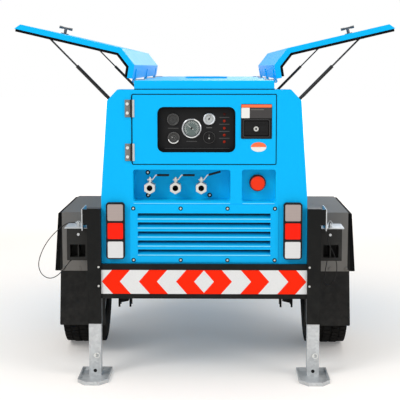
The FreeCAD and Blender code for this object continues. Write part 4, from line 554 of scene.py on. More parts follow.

# %% [markdown]
# ## A finish for every imported node
# Where the imported solid has the right shape, it only needs its material.  The table gives the finish
# of each node, by what the real part is made of; the recesses take the canopy's blue made lighter, as
# painted light against the shade inside them.

# %% Finishes of the imported nodes
NODE_FINISH = {
    "canopy_blue": ("rear_panel", "front_panel", "side_panels", "roof_panel", "left_door",
                    "right_door", "control_door", "louvre_panel",
                    "canopy_base"),
    "recess_blue": ("valve_recess", "stop_recess"),
    "fender_grey": ("fenders",),
    "chassis_black": ("chassis_rails", "cross_members", "axle_beam", "jack_posts", "drawbar_arms",
                      "leaf_springs", "lifting_frame", "tow_eye"),
    "galvanised": ("left_jack_leg", "right_jack_leg", "front_stand_leg", "chock_brackets"),
    "rim_silver": ("left_wheel_rim", "right_wheel_rim"),
    "rubber": ("left_tyre", "right_tyre"),
    "chock_rubber": ("wheel_chocks",),
    "flap_rubber": ("mudflaps",),
    "moulded_black": ("instrument_panel", "latch_paddle", "tail_lamps", "fuel_tank", "battery",
                      "air_cleaners", "cooling_fan", "start_switch"),
    "engine_paint": ("diesel_engine",),
    "cast_iron": ("screw_airend",),
    "tank_black": ("air_receiver",),
    "strut_black": ("left_strut_cylinders", "right_strut_cylinders"),
    "strut_steel": ("left_strut_rods", "right_strut_rods"),
    "aluminium": ("cooler", "exhaust_silencer"),
    "zinc": ("panel_bolts", "hinge_leaves"),
    "nickel": ("outlet_valves",),
    "steel_dark": ("left_door_handle", "right_door_handle"),
    "chrome": ("panel_instruments",),
    "stop_red": ("stop_button",),
    "grip_black": ("valve_lever_1", "valve_lever_2", "valve_lever_3"),
    "board_sheeting": ("chevron_board",),
    "wire_steel": ("left_lanyard", "right_lanyard"),
}
for finish, names in NODE_FINISH.items():
    for name in names:
        coat_with(frame["nodes"][name], finish)
print("nodes with a finish:", sum(len(names) for names in NODE_FINISH.values()))

# %% [markdown]
# ## Nodes that hold several materials
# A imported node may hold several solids: a lamp's frame and its lenses, a door and its seal.  One
# slot can't finish them all.  Painting by position in the shader would work but would creep over the
# joins.  Instead a copy of the node is cut back into its solids, each group gets its own finish, and
# the copies stand in for the node.  A copy can also have its sharp edges rounded by a millimetre,
# which is what makes folded sheet and castings catch the light along their corners.

# %% Cut a node into its solids
WELD = 2e-6                                  # metres within which loose corners are one
FLAT = math.radians(0.6)                     # faces closer than this to level are one face
SHARP = math.radians(32)


def islands(shape):
    """The faces of a bmesh, grouped by what hangs together."""
    left, groups = set(shape.faces), []
    while left:
        edge_of_search, group = [left.pop()], []
        while edge_of_search:
            face = edge_of_search.pop()
            group.append(face)
            for edge in face.edges:
                for other in edge.link_faces:
                    if other in left:
                        left.remove(other)
                        edge_of_search.append(other)
        groups.append(group)
    return groups


def solids_of(name):
    """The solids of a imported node: each one's corners, faces, middle and size in millimetres."""
    shape = bmesh.new()
    shape.from_mesh(frame["nodes"][name].data)
    bmesh.ops.remove_doubles(shape, verts=shape.verts, dist=WELD)
    found = []
    for group in islands(shape):
        corners = list(dict.fromkeys(vertex for face in group for vertex in face.verts))
        number = {vertex: i for i, vertex in enumerate(corners)}
        low = Vector([min(v.co[i] for v in corners) for i in range(3)])
        high = Vector([max(v.co[i] for v in corners) for i in range(3)])
        middle = (low + high) * 500
        found.append({"corners": [v.co.copy() for v in corners],
                      "faces": [[number[v] for v in face.verts] for face in group],
                      "x": middle.x, "place": middle.y - REAR * 1000, "z": middle.z,
                      "size": (high - low) * 1000})
    shape.free()
    return found


def built(name, solids, finish, body, edge=0.0):
    """One piece from several solids, with its flat faces joined and its edges rounded."""
    shape = bmesh.new()
    for solid in solids:
        corners = [shape.verts.new(place) for place in solid["corners"]]
        for face in solid["faces"]:
            try:
                shape.faces.new([corners[i] for i in face])
            except ValueError:
                continue
    bmesh.ops.dissolve_limit(shape, angle_limit=FLAT, verts=shape.verts, edges=shape.edges)
    mesh = bpy.data.meshes.new(name)
    shape.to_mesh(mesh)
    shape.free()
    mesh.shade_smooth()
    mesh.set_sharp_from_angle(angle=SHARP)
    piece = coat_with(link(name, mesh), finish)
    if edge:
        rounding = piece.modifiers.new("rounded edges", "BEVEL")
        rounding.width, rounding.segments = edge, 2
        rounding.limit_method, rounding.angle_limit = "ANGLE", SHARP
        rounding.harden_normals = True
    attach(piece, body)
    return piece


def body_of(name):
    return next(body for body, nodes in frame["record"]["behaviour"]["bodies"].items()
                if name in nodes)


def refinish(name, finish_of, edge=0.0):
    """Replaces a node by one piece for each finish; finish_of says which a solid gets."""
    groups, pieces = {}, {}
    for solid in solids_of(name):
        groups.setdefault(finish_of(solid), []).append(solid)
    for finish, solids in groups.items():
        pieces[finish] = built(name + "_" + finish, solids, finish, body_of(name), edge)
        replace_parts(pieces[finish], name)
    return pieces


def repaint(piece, finish, belongs):
    """Another finish on the faces whose corners, as (x, place, z) in millimetres, all belong."""
    mesh = piece.data
    mesh.materials.append(FINISH[finish])
    spots = [(v.co.x * 1000, (v.co.y - REAR) * 1000, v.co.z * 1000) for v in mesh.vertices]
    for face in mesh.polygons:
        if all(belongs(*spots[i]) for i in face.vertices):
            face.material_index = len(mesh.materials) - 1


# %% [markdown]
# ## Sheet metal with rounded folds
# The canopy is folded from 3 mm sheet.  A fold is never a knife edge: it has a radius that draws a
# fine bright line.  The same goes for posts, chassis tubes and plates.

# %% Round the edges of sheet and tube
ROUNDED = {"rear_panel": 0.0016, "front_panel": 0.0016, "side_panels": 0.0012, "roof_panel": 0.0015,
           "valve_recess": 0.0008, "fenders": 0.0012, "jack_posts": 0.0022,
           "chassis_rails": 0.0015, "cross_members": 0.0015, "drawbar_arms": 0.0015,
           "left_jack_leg": 0.0012, "right_jack_leg": 0.0012, "front_stand_leg": 0.0012,
           "chock_brackets": 0.0008, "wheel_chocks": 0.002, "instrument_panel": 0.0008,
           "mudflaps": 0.0015, "diesel_engine": 0.004, "screw_airend": 0.003, "cooler": 0.002,
           "air_receiver": 0.002, "air_cleaners": 0.002, "exhaust_silencer": 0.001,
           "fuel_tank": 0.004, "battery": 0.002, "axle_beam": 0.0015, "leaf_springs": 0.0008,
           "lifting_frame": 0.0015, "tow_eye": 0.001, "cooling_fan": 0.001,
           "left_wheel_rim": 0.001, "right_wheel_rim": 0.001, "left_door_handle": 0.0008,
           "right_door_handle": 0.0008, "left_strut_cylinders": 0.0005,
           "right_strut_cylinders": 0.0005, "left_strut_rods": 0.0003, "right_strut_rods": 0.0003,
           "stop_button": 0.0005, "start_switch": 0.0006, "latch_paddle": 0.0006,
           "outlet_valves": 0.0006, "canopy_base": 0.001}


def same_finish(name):
    finish = next(f for f, names in NODE_FINISH.items() if name in names)
    return lambda solid: finish


SHEETS = {name: refinish(name, same_finish(name), edge)[same_finish(name)(None)]
          for name, edge in ROUNDED.items()}
print("nodes with rounded edges:", len(SHEETS))

# %% [markdown]
# ## Lenses
# A lamp lens is clear or coloured plastic with small prisms moulded in its back.  Real glass shaders
# cost a lot of light paths for a lens 70 mm wide, so the lens is glossy plastic with a grid of prisms
# in its bump and a lighter streak where each prism catches the light.

# %% Lens finish
PRISM = 0.0034


def lens(name, colour, light):
    material, tree = new_finish(name)
    x, y, z = axes(tree, coordinates(tree))
    ridge = ((x / PRISM).math("FRACT") - 0.5).math("ABSOLUTE") * 2.0
    row = ((z / (PRISM * 2)).math("FRACT") - 0.5).math("ABSOLUTE") * 2.0
    prisms = ridge.math("MAXIMUM", row)
    # Lighter colour on the prism ridges: a painted highlight where each prism catches the light.
    glint = prisms.spread(0.55, 1.0) * 0.4
    return surface(material, tree, {
        "Base Color": mix(tree, glint, colour, light), "Roughness": 0.2, "Specular IOR Level": 0.12, "Normal": bump(tree, prisms, 0.0002)})


FINISH["lens_amber"] = lens("lens_amber", srgb(164, 151, 147), srgb(182, 168, 162))
FINISH["lens_red"] = lens("lens_red", srgb(246, 24, 0), srgb(255, 44, 8))
FINISH["lens_clear"] = lens("lens_clear", srgb(212, 213, 214), srgb(228, 228, 228))
FINISH["lamp_dim"] = lens("lamp_dim", srgb(64, 18, 12), srgb(84, 26, 18))
FINISH["lamp_lit"] = lens("lamp_lit", srgb(150, 34, 14), srgb(186, 54, 28))

# %% [markdown]
# ## Nodes of several finishes
# Each solid is known by its size and place: a lamp's frame is the tall one, a gauge's dial is the thin
# one.  Where two finishes share one solid, such as the hinge and its bolts, the faces are repainted by
# their corners.

# %% Tail lamps and instruments
MAIN_GAUGE = (-55.5, 1111.0)
SMALL_GAUGES = {"upper left": (-137.5, 1150.0), "lower left": (-135.0, 1068.5), "upper right": (22.0, 1152.0)}


def lamp_finish(solid):
    if solid["size"].z > 200:
        return "moulded_black"
    return "lens_amber" if solid["z"] > 700 else "lens_red" if solid["z"] > 610 else "lens_clear"


def instrument_finish(solid):
    """Bezels, dials and warning lamps by how thick and where they are."""
    if solid["size"].x < 20:
        return "lamp_dim" if solid["z"] > 1160 else "lamp_lit"
    is_dial = solid["size"].y < 5
    if solid["size"].x > 60:
        return "dial_green" if is_dial else "chrome"
    if solid["x"] > 0:
        return "dial_silver" if is_dial else "aluminium"
    return "dial_dark" if is_dial else "gauge_black"


refinish("tail_lamps", lamp_finish, 0.0022)
refinish("panel_instruments", instrument_finish)

# %% Recesses, valves and levers
def recess_finish(solid):
    # Recess walls take the lightened blue, painted light against their shade.
    return "recess_blue" if solid["size"].z > 100 else "stop_collar"


def lever_finish(solid):
    return "grip_black" if solid["size"].x > 50 else "nickel"


refinish("stop_recess", recess_finish, 0.0008)
for number in (1, 2, 3):
    refinish("valve_lever_%d" % number, lever_finish, 0.0006)
BORE_R = 13.2
VALVES_X, VALVE_Z = (-243.0, -128.0, -13.0), 844.0
# The bores of the outlet valves are painted black: painted shade inside the bores.
for middle in VALVES_X:
    repaint(SHEETS["outlet_valves"], "grip_black",
            lambda x, place, z: math.hypot(x - middle, z - VALVE_Z) < BORE_R)

# %% Hinges of the control door, grey leaves with bright screws
HINGE_SCREW_X, HINGE_SCREWS = -337.5, (986.0, 1026.0, 1179.0, 1219.0)


def hinge_finish(solid):
    return "hinge_grey" if solid["size"].z > 60 else "zinc"


leaves = refinish("hinge_leaves", hinge_finish, 0.0006)
for middle in HINGE_SCREWS:
    repaint(leaves["hinge_grey"], "mark_white", lambda x, place, z: place < -3.9 and
            math.hypot(x - HINGE_SCREW_X, z - middle) < 7.4)
# Black on the hinge barrel: painted shade of the shadowed gap at the hinge.
repaint(leaves["hinge_grey"], "grip_black", lambda x, place, z: x > -325.8)

# %% The control door: blue sheet, bright leaves, black latch
LATCH_X = (161.0, 299.0)
LEAF_EDGE, BARREL_EDGE = -306.0, -315.2


def control_finish(solid):
    return "canopy_blue" if solid["size"].x > 300 else "moulded_black"


control = refinish("control_door", control_finish, 0.0006)
for middle in (1006.0, 1199.0):
    repaint(control["canopy_blue"], "zinc", lambda x, place, z: x < LEAF_EDGE and place < -3.95 and
            abs(z - middle) < 39)
    # Black on the door's side of the hinge barrel: painted shade of the gap.
    repaint(control["canopy_blue"], "grip_black", lambda x, place, z: x < BARREL_EDGE and place < -3.95 and
            abs(z - middle) < 39)
WINDOW_BOX = (-206.0, 138.0, 1006.0, 1206.0)
repaint(control["canopy_blue"], "moulded_black", lambda x, place, z: place > -3.9 and
        WINDOW_BOX[0] < x < WINDOW_BOX[1] and WINDOW_BOX[2] < z < WINDOW_BOX[3])

# %% [markdown]
# ## The gull-wing doors
# Each door is a blue pan with a rubber seal glued round the inside of its rim.  A point of the open
# door is turned back to where it lies when the door is shut, and its distance from the canopy says
# whether it is sheet or seal.

# %% Door pans and seals
CANOPY_LINE = ((457.0, 803.0), (427.0, 1233.0), (382.0, 1281.0), (0.0, 1281.0))
DOOR_PIVOT, DOOR_TURN = (324.0, 1316.0), math.radians(99.1)
PAN_BACK = 12.5                              # from the canopy to the back of the pan


def shut(x, z):
    """Where a point of the open right door lies when the door is shut."""
    u, w = x - DOOR_PIVOT[0], z - DOOR_PIVOT[1]
    return (DOOR_PIVOT[0] + u * math.cos(DOOR_TURN) + w * math.sin(DOOR_TURN),
            DOOR_PIVOT[1] - u * math.sin(DOOR_TURN) + w * math.cos(DOOR_TURN))


def opened(x, z):
    """Where a point of the shut right door lies when the door is open."""
    u, w = x - DOOR_PIVOT[0], z - DOOR_PIVOT[1]
    return (DOOR_PIVOT[0] + u * math.cos(DOOR_TURN) - w * math.sin(DOOR_TURN),
            DOOR_PIVOT[1] + u * math.sin(DOOR_TURN) + w * math.cos(DOOR_TURN))


def stand_off(x, z):
    """Distance from the canopy of a point of the open door, when the door is shut."""
    x, z = shut(abs(x), z)
    away = []
    for (x0, z0), (x1, z1) in zip(CANOPY_LINE, CANOPY_LINE[1:]):
        run = math.hypot(x1 - x0, z1 - z0)
        away.append(((x - x0) * (z1 - z0) - (z - z0) * (x1 - x0)) / run)
    return max(away)


for side in ("left", "right"):
    pan = built(side + "_door_pan", solids_of(side + "_door"), "canopy_blue", side + " door", 0.0009)
    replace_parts(pan, side + "_door")
    repaint(pan, "rubber", lambda x, place, z: stand_off(x, z) < PAN_BACK + 0.05)
for side in ("left", "right"):
    # The front faces of the leg pin in white: a painted highlight on the zinc pin and ring.
    repaint(SHEETS[side + "_jack_leg"], "label_white", lambda x, place, z: place < -33.4 and 80 < z < 116)
print("doors and leg pins repainted")

# %% Seal under the roof, rubber edge of the fenders, front grille
repaint(SHEETS["roof_panel"], "rubber", lambda x, place, z: z < 1285.2)
repaint(SHEETS["fenders"], "chassis_black", lambda x, place, z: abs(x) > 672.0)
repaint(SHEETS["cooler"], "moulded_black", lambda x, place, z: place < 1751.0)
repaint(SHEETS["diesel_engine"], "tank_black", lambda x, place, z: z > 1074.0 or z < 650.0)
repaint(SHEETS["lifting_frame"], "zinc", lambda x, place, z: abs(x) < 9 and z > 1262)
# %% [markdown]
# ## Things that repeat
# A trailer is held together by hundreds of the same few things: bolts, tread blocks, fins, ticks.
# Modelling each is endless work, and copying meshes makes every one the same.  Geometry Nodes put one
# shape on many points.  Each point carries an arrow called aim, which says where the shape's top
# points.  The tree ends in Realize Instances and Set Material, and its result is kept as plain mesh.

# %% A tree with named inputs, and how it is run
def geometry_tree(name, inputs):
    """An empty tree; returns it with a wire for each named input."""
    tree = bpy.data.node_groups.new(name, "GeometryNodeTree")
    tree.interface.new_socket("Geometry", in_out="INPUT", socket_type="NodeSocketGeometry")
    for label, (kind, value) in inputs.items():
        made = tree.interface.new_socket(label, in_out="INPUT", socket_type="NodeSocket" + kind)
        if value is not None:
            made.default_value = value
    tree.interface.new_socket("Geometry", in_out="OUTPUT", socket_type="NodeSocketGeometry")
    start = tree.nodes.new("NodeGroupInput")
    return tree, {socket.name: Wire(tree, socket) for socket in start.outputs if socket.name}


def end_tree(tree, instances, material):
    """Instances become real mesh with one material."""
    real = node(tree, "GeometryNodeRealizeInstances", None, {"Geometry": instances})
    done = node(tree, "GeometryNodeSetMaterial", None, {"Geometry": real, "Material": material})
    tree.links.new(done.socket, tree.nodes.new("NodeGroupOutput").inputs["Geometry"])


def stamped(name, tree, spots, values, finish, body, aims=None):
    """Runs a tree on points, each with its aim, and keeps the result as a plain piece on a body."""
    mesh = bpy.data.meshes.new(name)
    mesh.from_pydata([tuple(spot) for spot in spots], [], [])
    aim = mesh.attributes.new("aim", "FLOAT_VECTOR", "POINT")
    for i in range(len(spots)):
        aim.data[i].vector = aims[i] if aims else (0.0, -1.0, 0.0)
    piece = link(name, mesh)
    modifier = piece.modifiers.new(tree.name, "NODES")
    modifier.node_group = tree
    for item in tree.interface.items_tree:
        if item.in_out == "INPUT" and item.name in values:
            modifier[item.identifier] = values[item.name]
        elif item.in_out == "INPUT" and item.name == "Finish":
            modifier[item.identifier] = FINISH[finish]
    graph = bpy.context.evaluated_depsgraph_get()
    plain_mesh = bpy.data.meshes.new_from_object(piece.evaluated_get(graph))
    piece.modifiers.clear()
    piece.data = plain_mesh
    plain_mesh.set_sharp_from_angle(angle=SHARP)
    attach(piece, body)
    return piece


# %% [markdown]
# ## Bolts and screws
# A bolt here is a hexagon with a small chamfer on a round washer, and a rivet is the same tree with
# more sides and no washer.  Each is turned by a random angle about its own axis, as a spanner leaves
# it.

# %% The bolt tree
def bolt_tree():
    tree, use = geometry_tree("bolt", {
        "Across": ("Float", 0.006), "Height": ("Float", 0.005), "Sides": ("Int", 6),
        "Washer": ("Float", 0.009), "Washer height": ("Float", 0.0016), "Top": ("Float", 0.82),
        "Seed": ("Int", 4), "Finish": ("Material", None)})

    def lifted(shape, height):
        offset = node(tree, "ShaderNodeCombineXYZ", None, {"Z": height})
        return node(tree, "GeometryNodeTransform", None, {"Geometry": shape, "Translation": offset})

    washer = node(tree, "GeometryNodeMeshCylinder", None,
                  {"Vertices": 20, "Radius": use["Washer"], "Depth": use["Washer height"]})
    head = node(tree, "GeometryNodeMeshCylinder", None,
                {"Vertices": use["Sides"], "Radius": use["Across"], "Depth": use["Height"] * 0.7})
    crown = node(tree, "GeometryNodeMeshCone", None,
                 {"Vertices": use["Sides"], "Radius Top": use["Across"] * use["Top"],
                  "Radius Bottom": use["Across"], "Depth": use["Height"] * 0.3})
    join = tree.nodes.new("GeometryNodeJoinGeometry")
    for shape in (lifted(washer, use["Washer height"] * 0.5),
                  lifted(head, use["Washer height"] + use["Height"] * 0.35),
                  lifted(crown, use["Washer height"] + use["Height"] * 0.7)):
        tree.links.new(shape.socket, join.inputs[0])
    aim = node(tree, "GeometryNodeInputNamedAttribute", {"data_type": "FLOAT_VECTOR"}, {"Name": "aim"})
    turn = node(tree, "FunctionNodeAlignRotationToVector", {"axis": "Z"}, {"Vector": aim})
    spin = node(tree, "FunctionNodeRandomValue", {"data_type": "FLOAT"},
                {2: 0.0, 3: 2 * math.pi, "Seed": use["Seed"]}, output=1)
    spun = node(tree, "FunctionNodeAxisAngleToRotation", None, {"Axis": (0, 0, 1), "Angle": spin})
    turned = node(tree, "FunctionNodeRotateRotation", {"rotation_space": "LOCAL"},
                  {"Rotation": turn, "Rotate By": spun})
    many = node(tree, "GeometryNodeInstanceOnPoints", None,
                {"Points": use["Geometry"], "Instance": Wire(tree, join.outputs[0]),
                 "Rotation": turned})
    end_tree(tree, many, use["Finish"])
    return tree


BOLT = bolt_tree()


def bolts(name, spots, across, height, finish, body="chassis", washer=1.5, aims=None, sides=6):
    """Bolts of a size in millimetres at (x, place, z), heads towards aims, or to the rear."""
    values = {"Across": across / 1000, "Height": height / 1000, "Sides": sides,
              "Washer": across * washer / 1000, "Washer height": height * 0.3 / 1000}
    return stamped(name, BOLT, [at(*spot) for spot in spots], values, finish, body, aims)


# %% [markdown]
# ## Tyres
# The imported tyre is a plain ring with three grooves.  A real one has blocks: three ribs in the middle
# cut by cross grooves, and broad shoulder blocks that wrap over the edge.  The carcass is a section
# turned about the axle.  The blocks are one small shape stamped round it in rows, each row shifted by
# part of a pitch so that the wheel runs quietly.

# %% Tyre sizes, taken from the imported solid
TYRE_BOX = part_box("right_tyre")
TYRE_R = (TYRE_BOX[1].z - TYRE_BOX[0].z) / 2
TYRE_HALF = (TYRE_BOX[1].x - TYRE_BOX[0].x) / 2
RIM_R, TREAD_DEPTH = 0.190, 0.0085
AXLE = Vector((0.0, (TYRE_BOX[0].y + TYRE_BOX[1].y) / 2, (TYRE_BOX[0].z + TYRE_BOX[1].z) / 2))
TRACK = (TYRE_BOX[0].x + TYRE_BOX[1].x) / 2
BLOCKS_ROUND = 58
# offset across the tread, half width, half length, share of a pitch it is shifted by
TREAD_ROWS = ((-0.078, 0.0155, 0.0135, 0.0), (-0.041, 0.0150, 0.0140, 0.5), (0.0, 0.0160, 0.0150, 0.2),
              (0.041, 0.0150, 0.0140, 0.7), (0.078, 0.0155, 0.0135, 0.4))
print("tyre radius", round(TYRE_R, 3), "half width", round(TYRE_HALF, 3))

# %% The carcass: a section turned about the axle
CARCASS_STEPS = 120


def turned(name, section, middle, steps=CARCASS_STEPS):
    """A ring of a closed section of (across, radius) about the X axis through middle."""
    points = [middle + Vector((u, r * math.cos(a), r * math.sin(a)))
              for a in (2 * math.pi * i / steps for i in range(steps)) for u, r in section]
    n, total = len(section), steps * len(section)
    faces = [(i * n + j, i * n + (j + 1) % n, ((i + 1) * n + (j + 1) % n) % total, ((i + 1) * n + j) % total)
             for i in range(steps) for j in range(n)]
    mesh = bpy.data.meshes.new(name)
    mesh.from_pydata(points, [], faces)
    shape = bmesh.new()
    shape.from_mesh(mesh)
    bmesh.ops.recalc_face_normals(shape, faces=shape.faces)
    shape.to_mesh(mesh)
    shape.free()
    mesh.shade_smooth()
    mesh.set_sharp_from_angle(angle=SHARP)
    return link(name, mesh)


def tyre_section():
    """Half the outside from the crown to the bead, then its mirror and the inside."""
    ground = TYRE_R - TREAD_DEPTH
    half = [(0.0, ground), (0.058, ground), (0.078, ground - 0.003), (0.090, ground - 0.012),
            (0.0955, ground - 0.026), (TYRE_HALF - 0.0008, ground - 0.050), (TYRE_HALF - 0.0024, ground - 0.053),
            (TYRE_HALF - 0.0008, ground - 0.056), (TYRE_HALF, RIM_R + 0.060), (TYRE_HALF - 0.004, RIM_R + 0.036),
            (TYRE_HALF - 0.011, RIM_R + 0.020), (TYRE_HALF - 0.0085, RIM_R + 0.017),
            (TYRE_HALF - 0.016, RIM_R + 0.006), (0.070, RIM_R - 0.006)]
    inside = [(0.060, RIM_R + 0.020), (0.082, RIM_R + 0.05), (0.070, TYRE_R - 0.03), (0.0, TYRE_R - 0.022)]
    right = half + inside
    left = [(-u, r) for u, r in reversed(right) if u > 0]
    return right + left


# %% The tread tree
def tread_tree():
    tree, use = geometry_tree("tread", {
        "Half width": ("Float", 0.015), "Half length": ("Float", 0.014), "Depth": ("Float", 0.009),
        "Seed": ("Int", 2), "Finish": ("Material", None)})
    size = node(tree, "ShaderNodeCombineXYZ", None,
                {"X": use["Half width"] * 2, "Y": use["Half length"] * 2, "Z": use["Depth"]})
    block = node(tree, "GeometryNodeMeshCube", None, {"Size": size})
    sunk = node(tree, "ShaderNodeCombineXYZ", None, {"Z": use["Depth"] * -0.5})
    block = node(tree, "GeometryNodeTransform", None, {"Geometry": block, "Translation": sunk})
    aim = node(tree, "GeometryNodeInputNamedAttribute", {"data_type": "FLOAT_VECTOR"}, {"Name": "aim"})
    up = node(tree, "FunctionNodeAlignRotationToVector", {"axis": "Z"}, {"Vector": aim})
    turned_up = node(tree, "FunctionNodeAlignRotationToVector", {"axis": "X", "pivot_axis": "Z"},
                     {"Rotation": up, "Vector": (1.0, 0.0, 0.0)})
    many = node(tree, "GeometryNodeInstanceOnPoints", None,
                {"Points": use["Geometry"], "Instance": block, "Rotation": turned_up})
    end_tree(tree, many, use["Finish"])
    return tree


TREAD = tread_tree()


def make_tyre(side, name):
    middle = Vector((side * TRACK, AXLE.y, AXLE.z))
    carcass = coat_with(turned(name + "_tyre_carcass", tyre_section(), middle), "rubber")
    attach(carcass, name + " wheel")
    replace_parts(carcass, name + "_tyre")
    for row, (offset, half_width, half_length, shift) in enumerate(TREAD_ROWS):
        angles = [2 * math.pi * (i + shift) / BLOCKS_ROUND for i in range(BLOCKS_ROUND)]
        aims = [Vector((0.0, math.cos(a), math.sin(a))) for a in angles]
        crown = TYRE_R - 0.0018 - (0.0035 if abs(offset) > 0.06 else 0.0)
        spots = [middle + aim * crown + Vector((offset, 0, 0)) for aim in aims]
        stamped("%s_tread_row_%d" % (name, row), TREAD, spots,
                {"Half width": half_width, "Half length": half_length, "Depth": TREAD_DEPTH + 0.003},
                "rubber", name + " wheel", aims)


for side, name in ((-1, "left"), (1, "right")):
    make_tyre(side, name)
print("tread blocks on a tyre:", BLOCKS_ROUND * len(TREAD_ROWS))


# %% [markdown]
# ## Small shapes by outline
# Labels, trims, plates and slats are all an outline pushed along one axis.  A plain cube would do for
# some, but its knife edges catch no light.  This helper takes any outline, closes both ends and gives
# the edges a small radius.

# %% Outlines pushed along an axis
SLOTS = {"canopy_blue": "body_blue", "lip_blue": "body_blue", "chassis_black": "steel_black", "rubber": "tyre",
         "moulded_black": "panel_black", "chrome": "chrome", "zinc": "zinc", "nickel": "chrome",
         "label_white": "instrument", "label_orange": "instrument", "label_grey": "instrument",
         "grip_black": "plastic_black", "mark_white": "instrument", "mark_grey": "instrument",
         "mark_dim": "instrument", "dial_dark": "instrument", "gauge_black": "instrument"}
FINISH["mark_dim"] = plain("mark_dim", srgb(66, 66, 66), 0.5, mottle=0.05)


def finished(name, points, faces, finish, body, edge=0.0):
    """A piece from points and faces, with its normals outwards and its edges rounded."""
    shape = bmesh.new()
    corners = [shape.verts.new(point) for point in points]
    for face in faces:
        shape.faces.new([corners[i] for i in face])
    bmesh.ops.recalc_face_normals(shape, faces=shape.faces)
    mesh = bpy.data.meshes.new(name)
    shape.to_mesh(mesh)
    shape.free()
    mesh.shade_smooth()
    mesh.set_sharp_from_angle(angle=SHARP)
    piece = coat_with(link(name, mesh), finish)
    if edge:
        rounding = piece.modifiers.new("rounded edges", "BEVEL")
        rounding.width, rounding.segments = edge, 2
        rounding.limit_method, rounding.angle_limit = "ANGLE", SHARP
        rounding.harden_normals = True
    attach(piece, body)
    return piece


def prism(name, outline, along, low, high, finish, body="chassis", edge=0.0):
    """A closed outline in millimetres pushed from low to high along x, place or z."""
    def spot(a, b, depth):
        return {"x": at(depth, a, b), "place": at(a, depth, b), "z": at(a, b, depth)}[along]

    count = len(outline)
    points = [spot(a, b, depth) for depth in (low, high) for a, b in outline]
    faces = [tuple(range(count)), tuple(range(2 * count - 1, count - 1, -1))]
    faces += [(i, (i + 1) % count, (i + 1) % count + count, i + count) for i in range(count)]
    return finished(name, points, faces, finish, body, edge)


def block(x0, x1, z0, z1, radius=0.0, steps=5):
    """The outline of a rectangle, with rounded corners if it has a radius."""
    if not radius:
        return [(x0, z0), (x1, z0), (x1, z1), (x0, z1)]
    return [(cx + radius * math.cos(math.radians(start + 90 * i / steps)),
             cz + radius * math.sin(math.radians(start + 90 * i / steps)))
            for cx, cz, start in ((x1 - radius, z0 + radius, -90), (x1 - radius, z1 - radius, 0),
                                  (x0 + radius, z1 - radius, 90), (x0 + radius, z0 + radius, 180))
            for i in range(steps + 1)]


def disc(x, z, radius, start=0.0, end=360.0, squash=1.0, steps=40):
    """The outline of a disc, or the arc of one from start to end in degrees."""
    turns = steps if end - start >= 360.0 else steps + 1
    return [(x + radius * math.cos(math.radians(start + (end - start) * i / steps)),
             z + squash * radius * math.sin(math.radians(start + (end - start) * i / steps)))
            for i in range(turns)]


def ring(name, outer, inner, low, high, finish, body="chassis", closed=True):
    """A flat band between two outlines of as many points, closed or open at the ends."""
    count = len(outer)
    points = [at(a, depth, b) for depth in (low, high) for line in (outer, inner) for a, b in line]
    faces = []
    for i in range(count if closed else count - 1):
        j = (i + 1) % count
        faces += [(a + i, a + j, b + j, b + i) for a, b in
                  ((0, count), (count, 3 * count), (3 * count, 2 * count), (2 * count, 0))]
    if not closed:
        faces += [(end, count + end, 3 * count + end, 2 * count + end) for end in (0, count - 1)]
    return finished(name, points, faces, finish, body)


# %% [markdown]
# ## Louvres
# The lower rear panel breathes through five slots.  Each has a slat that leans inwards going up, so
# rain runs off and the noise of the engine doesn't come straight out.  From the camera the top of each
# slot is nearly black, painted shade from a black box set behind the slots; the slat grows brighter
# downwards; and its rolled lower lip draws a bright line, painted as a highlight in a paler blue.
# A texture of stripes would look flat from the side, so the slats are real and stand in real openings.
# One slat is made from its section, and a small tree of Geometry Nodes sets it five times.

# %% One slat, set five times
SLOT_HALF, SLOT_TALL, SLOT_PITCH, SLOT_TOP, SLOTS_DOWN = 295.0, 25.0, 40.6, 734.5, 5
PLATE = (-330.0, 330.0, 514.0, 774.0)
SLAT_BACK = 24.0


def copies_tree():
    """Puts a given object on points, its Z turned along aim."""
    tree, use = geometry_tree("copies", {"Shape": ("Object", None), "Finish": ("Material", None)})
    shape = node(tree, "GeometryNodeObjectInfo", None, {"Object": use["Shape"]}, output=4)
    aim = node(tree, "GeometryNodeInputNamedAttribute", {"data_type": "FLOAT_VECTOR"}, {"Name": "aim"})
    turn = node(tree, "FunctionNodeAlignRotationToVector", {"axis": "Z"}, {"Vector": aim})
    many = node(tree, "GeometryNodeInstanceOnPoints", None,
                {"Points": use["Geometry"], "Instance": shape, "Rotation": turn})
    end_tree(tree, many, use["Finish"])
    return tree


COPIES = copies_tree()


def copies(name, points, faces, spots, finish, body="chassis", aims=None):
    """Copies of a shape made about the origin, in millimetres, at (x, place, z) spots."""
    shape = bmesh.new()
    corners = [shape.verts.new(Vector(point) / 1000) for point in points]
    for face in faces:
        shape.faces.new([corners[i] for i in face])
    bmesh.ops.recalc_face_normals(shape, faces=shape.faces)
    mesh = bpy.data.meshes.new(name + "_one")
    shape.to_mesh(mesh)
    shape.free()
    mesh.shade_smooth()
    mesh.set_sharp_from_angle(angle=SHARP)
    one = link(name + "_one", mesh)
    piece = stamped(name, COPIES, [at(*spot) for spot in spots], {"Shape": one}, finish, body,
                    aims or [(0.0, 0.0, 1.0)] * len(spots))
    bpy.data.objects.remove(one)
    return piece


def pushed(section, half):
    """Points and faces of a (place, z) section pushed from -half to half along x."""
    count = len(section)
    points = [(x, place, z) for x in (-half, half) for place, z in section]
    faces = [tuple(range(count)), tuple(range(count, 2 * count))]
    return points, faces + [(i, (i + 1) % count, (i + 1) % count + count, i + count)
                            for i in range(count)]


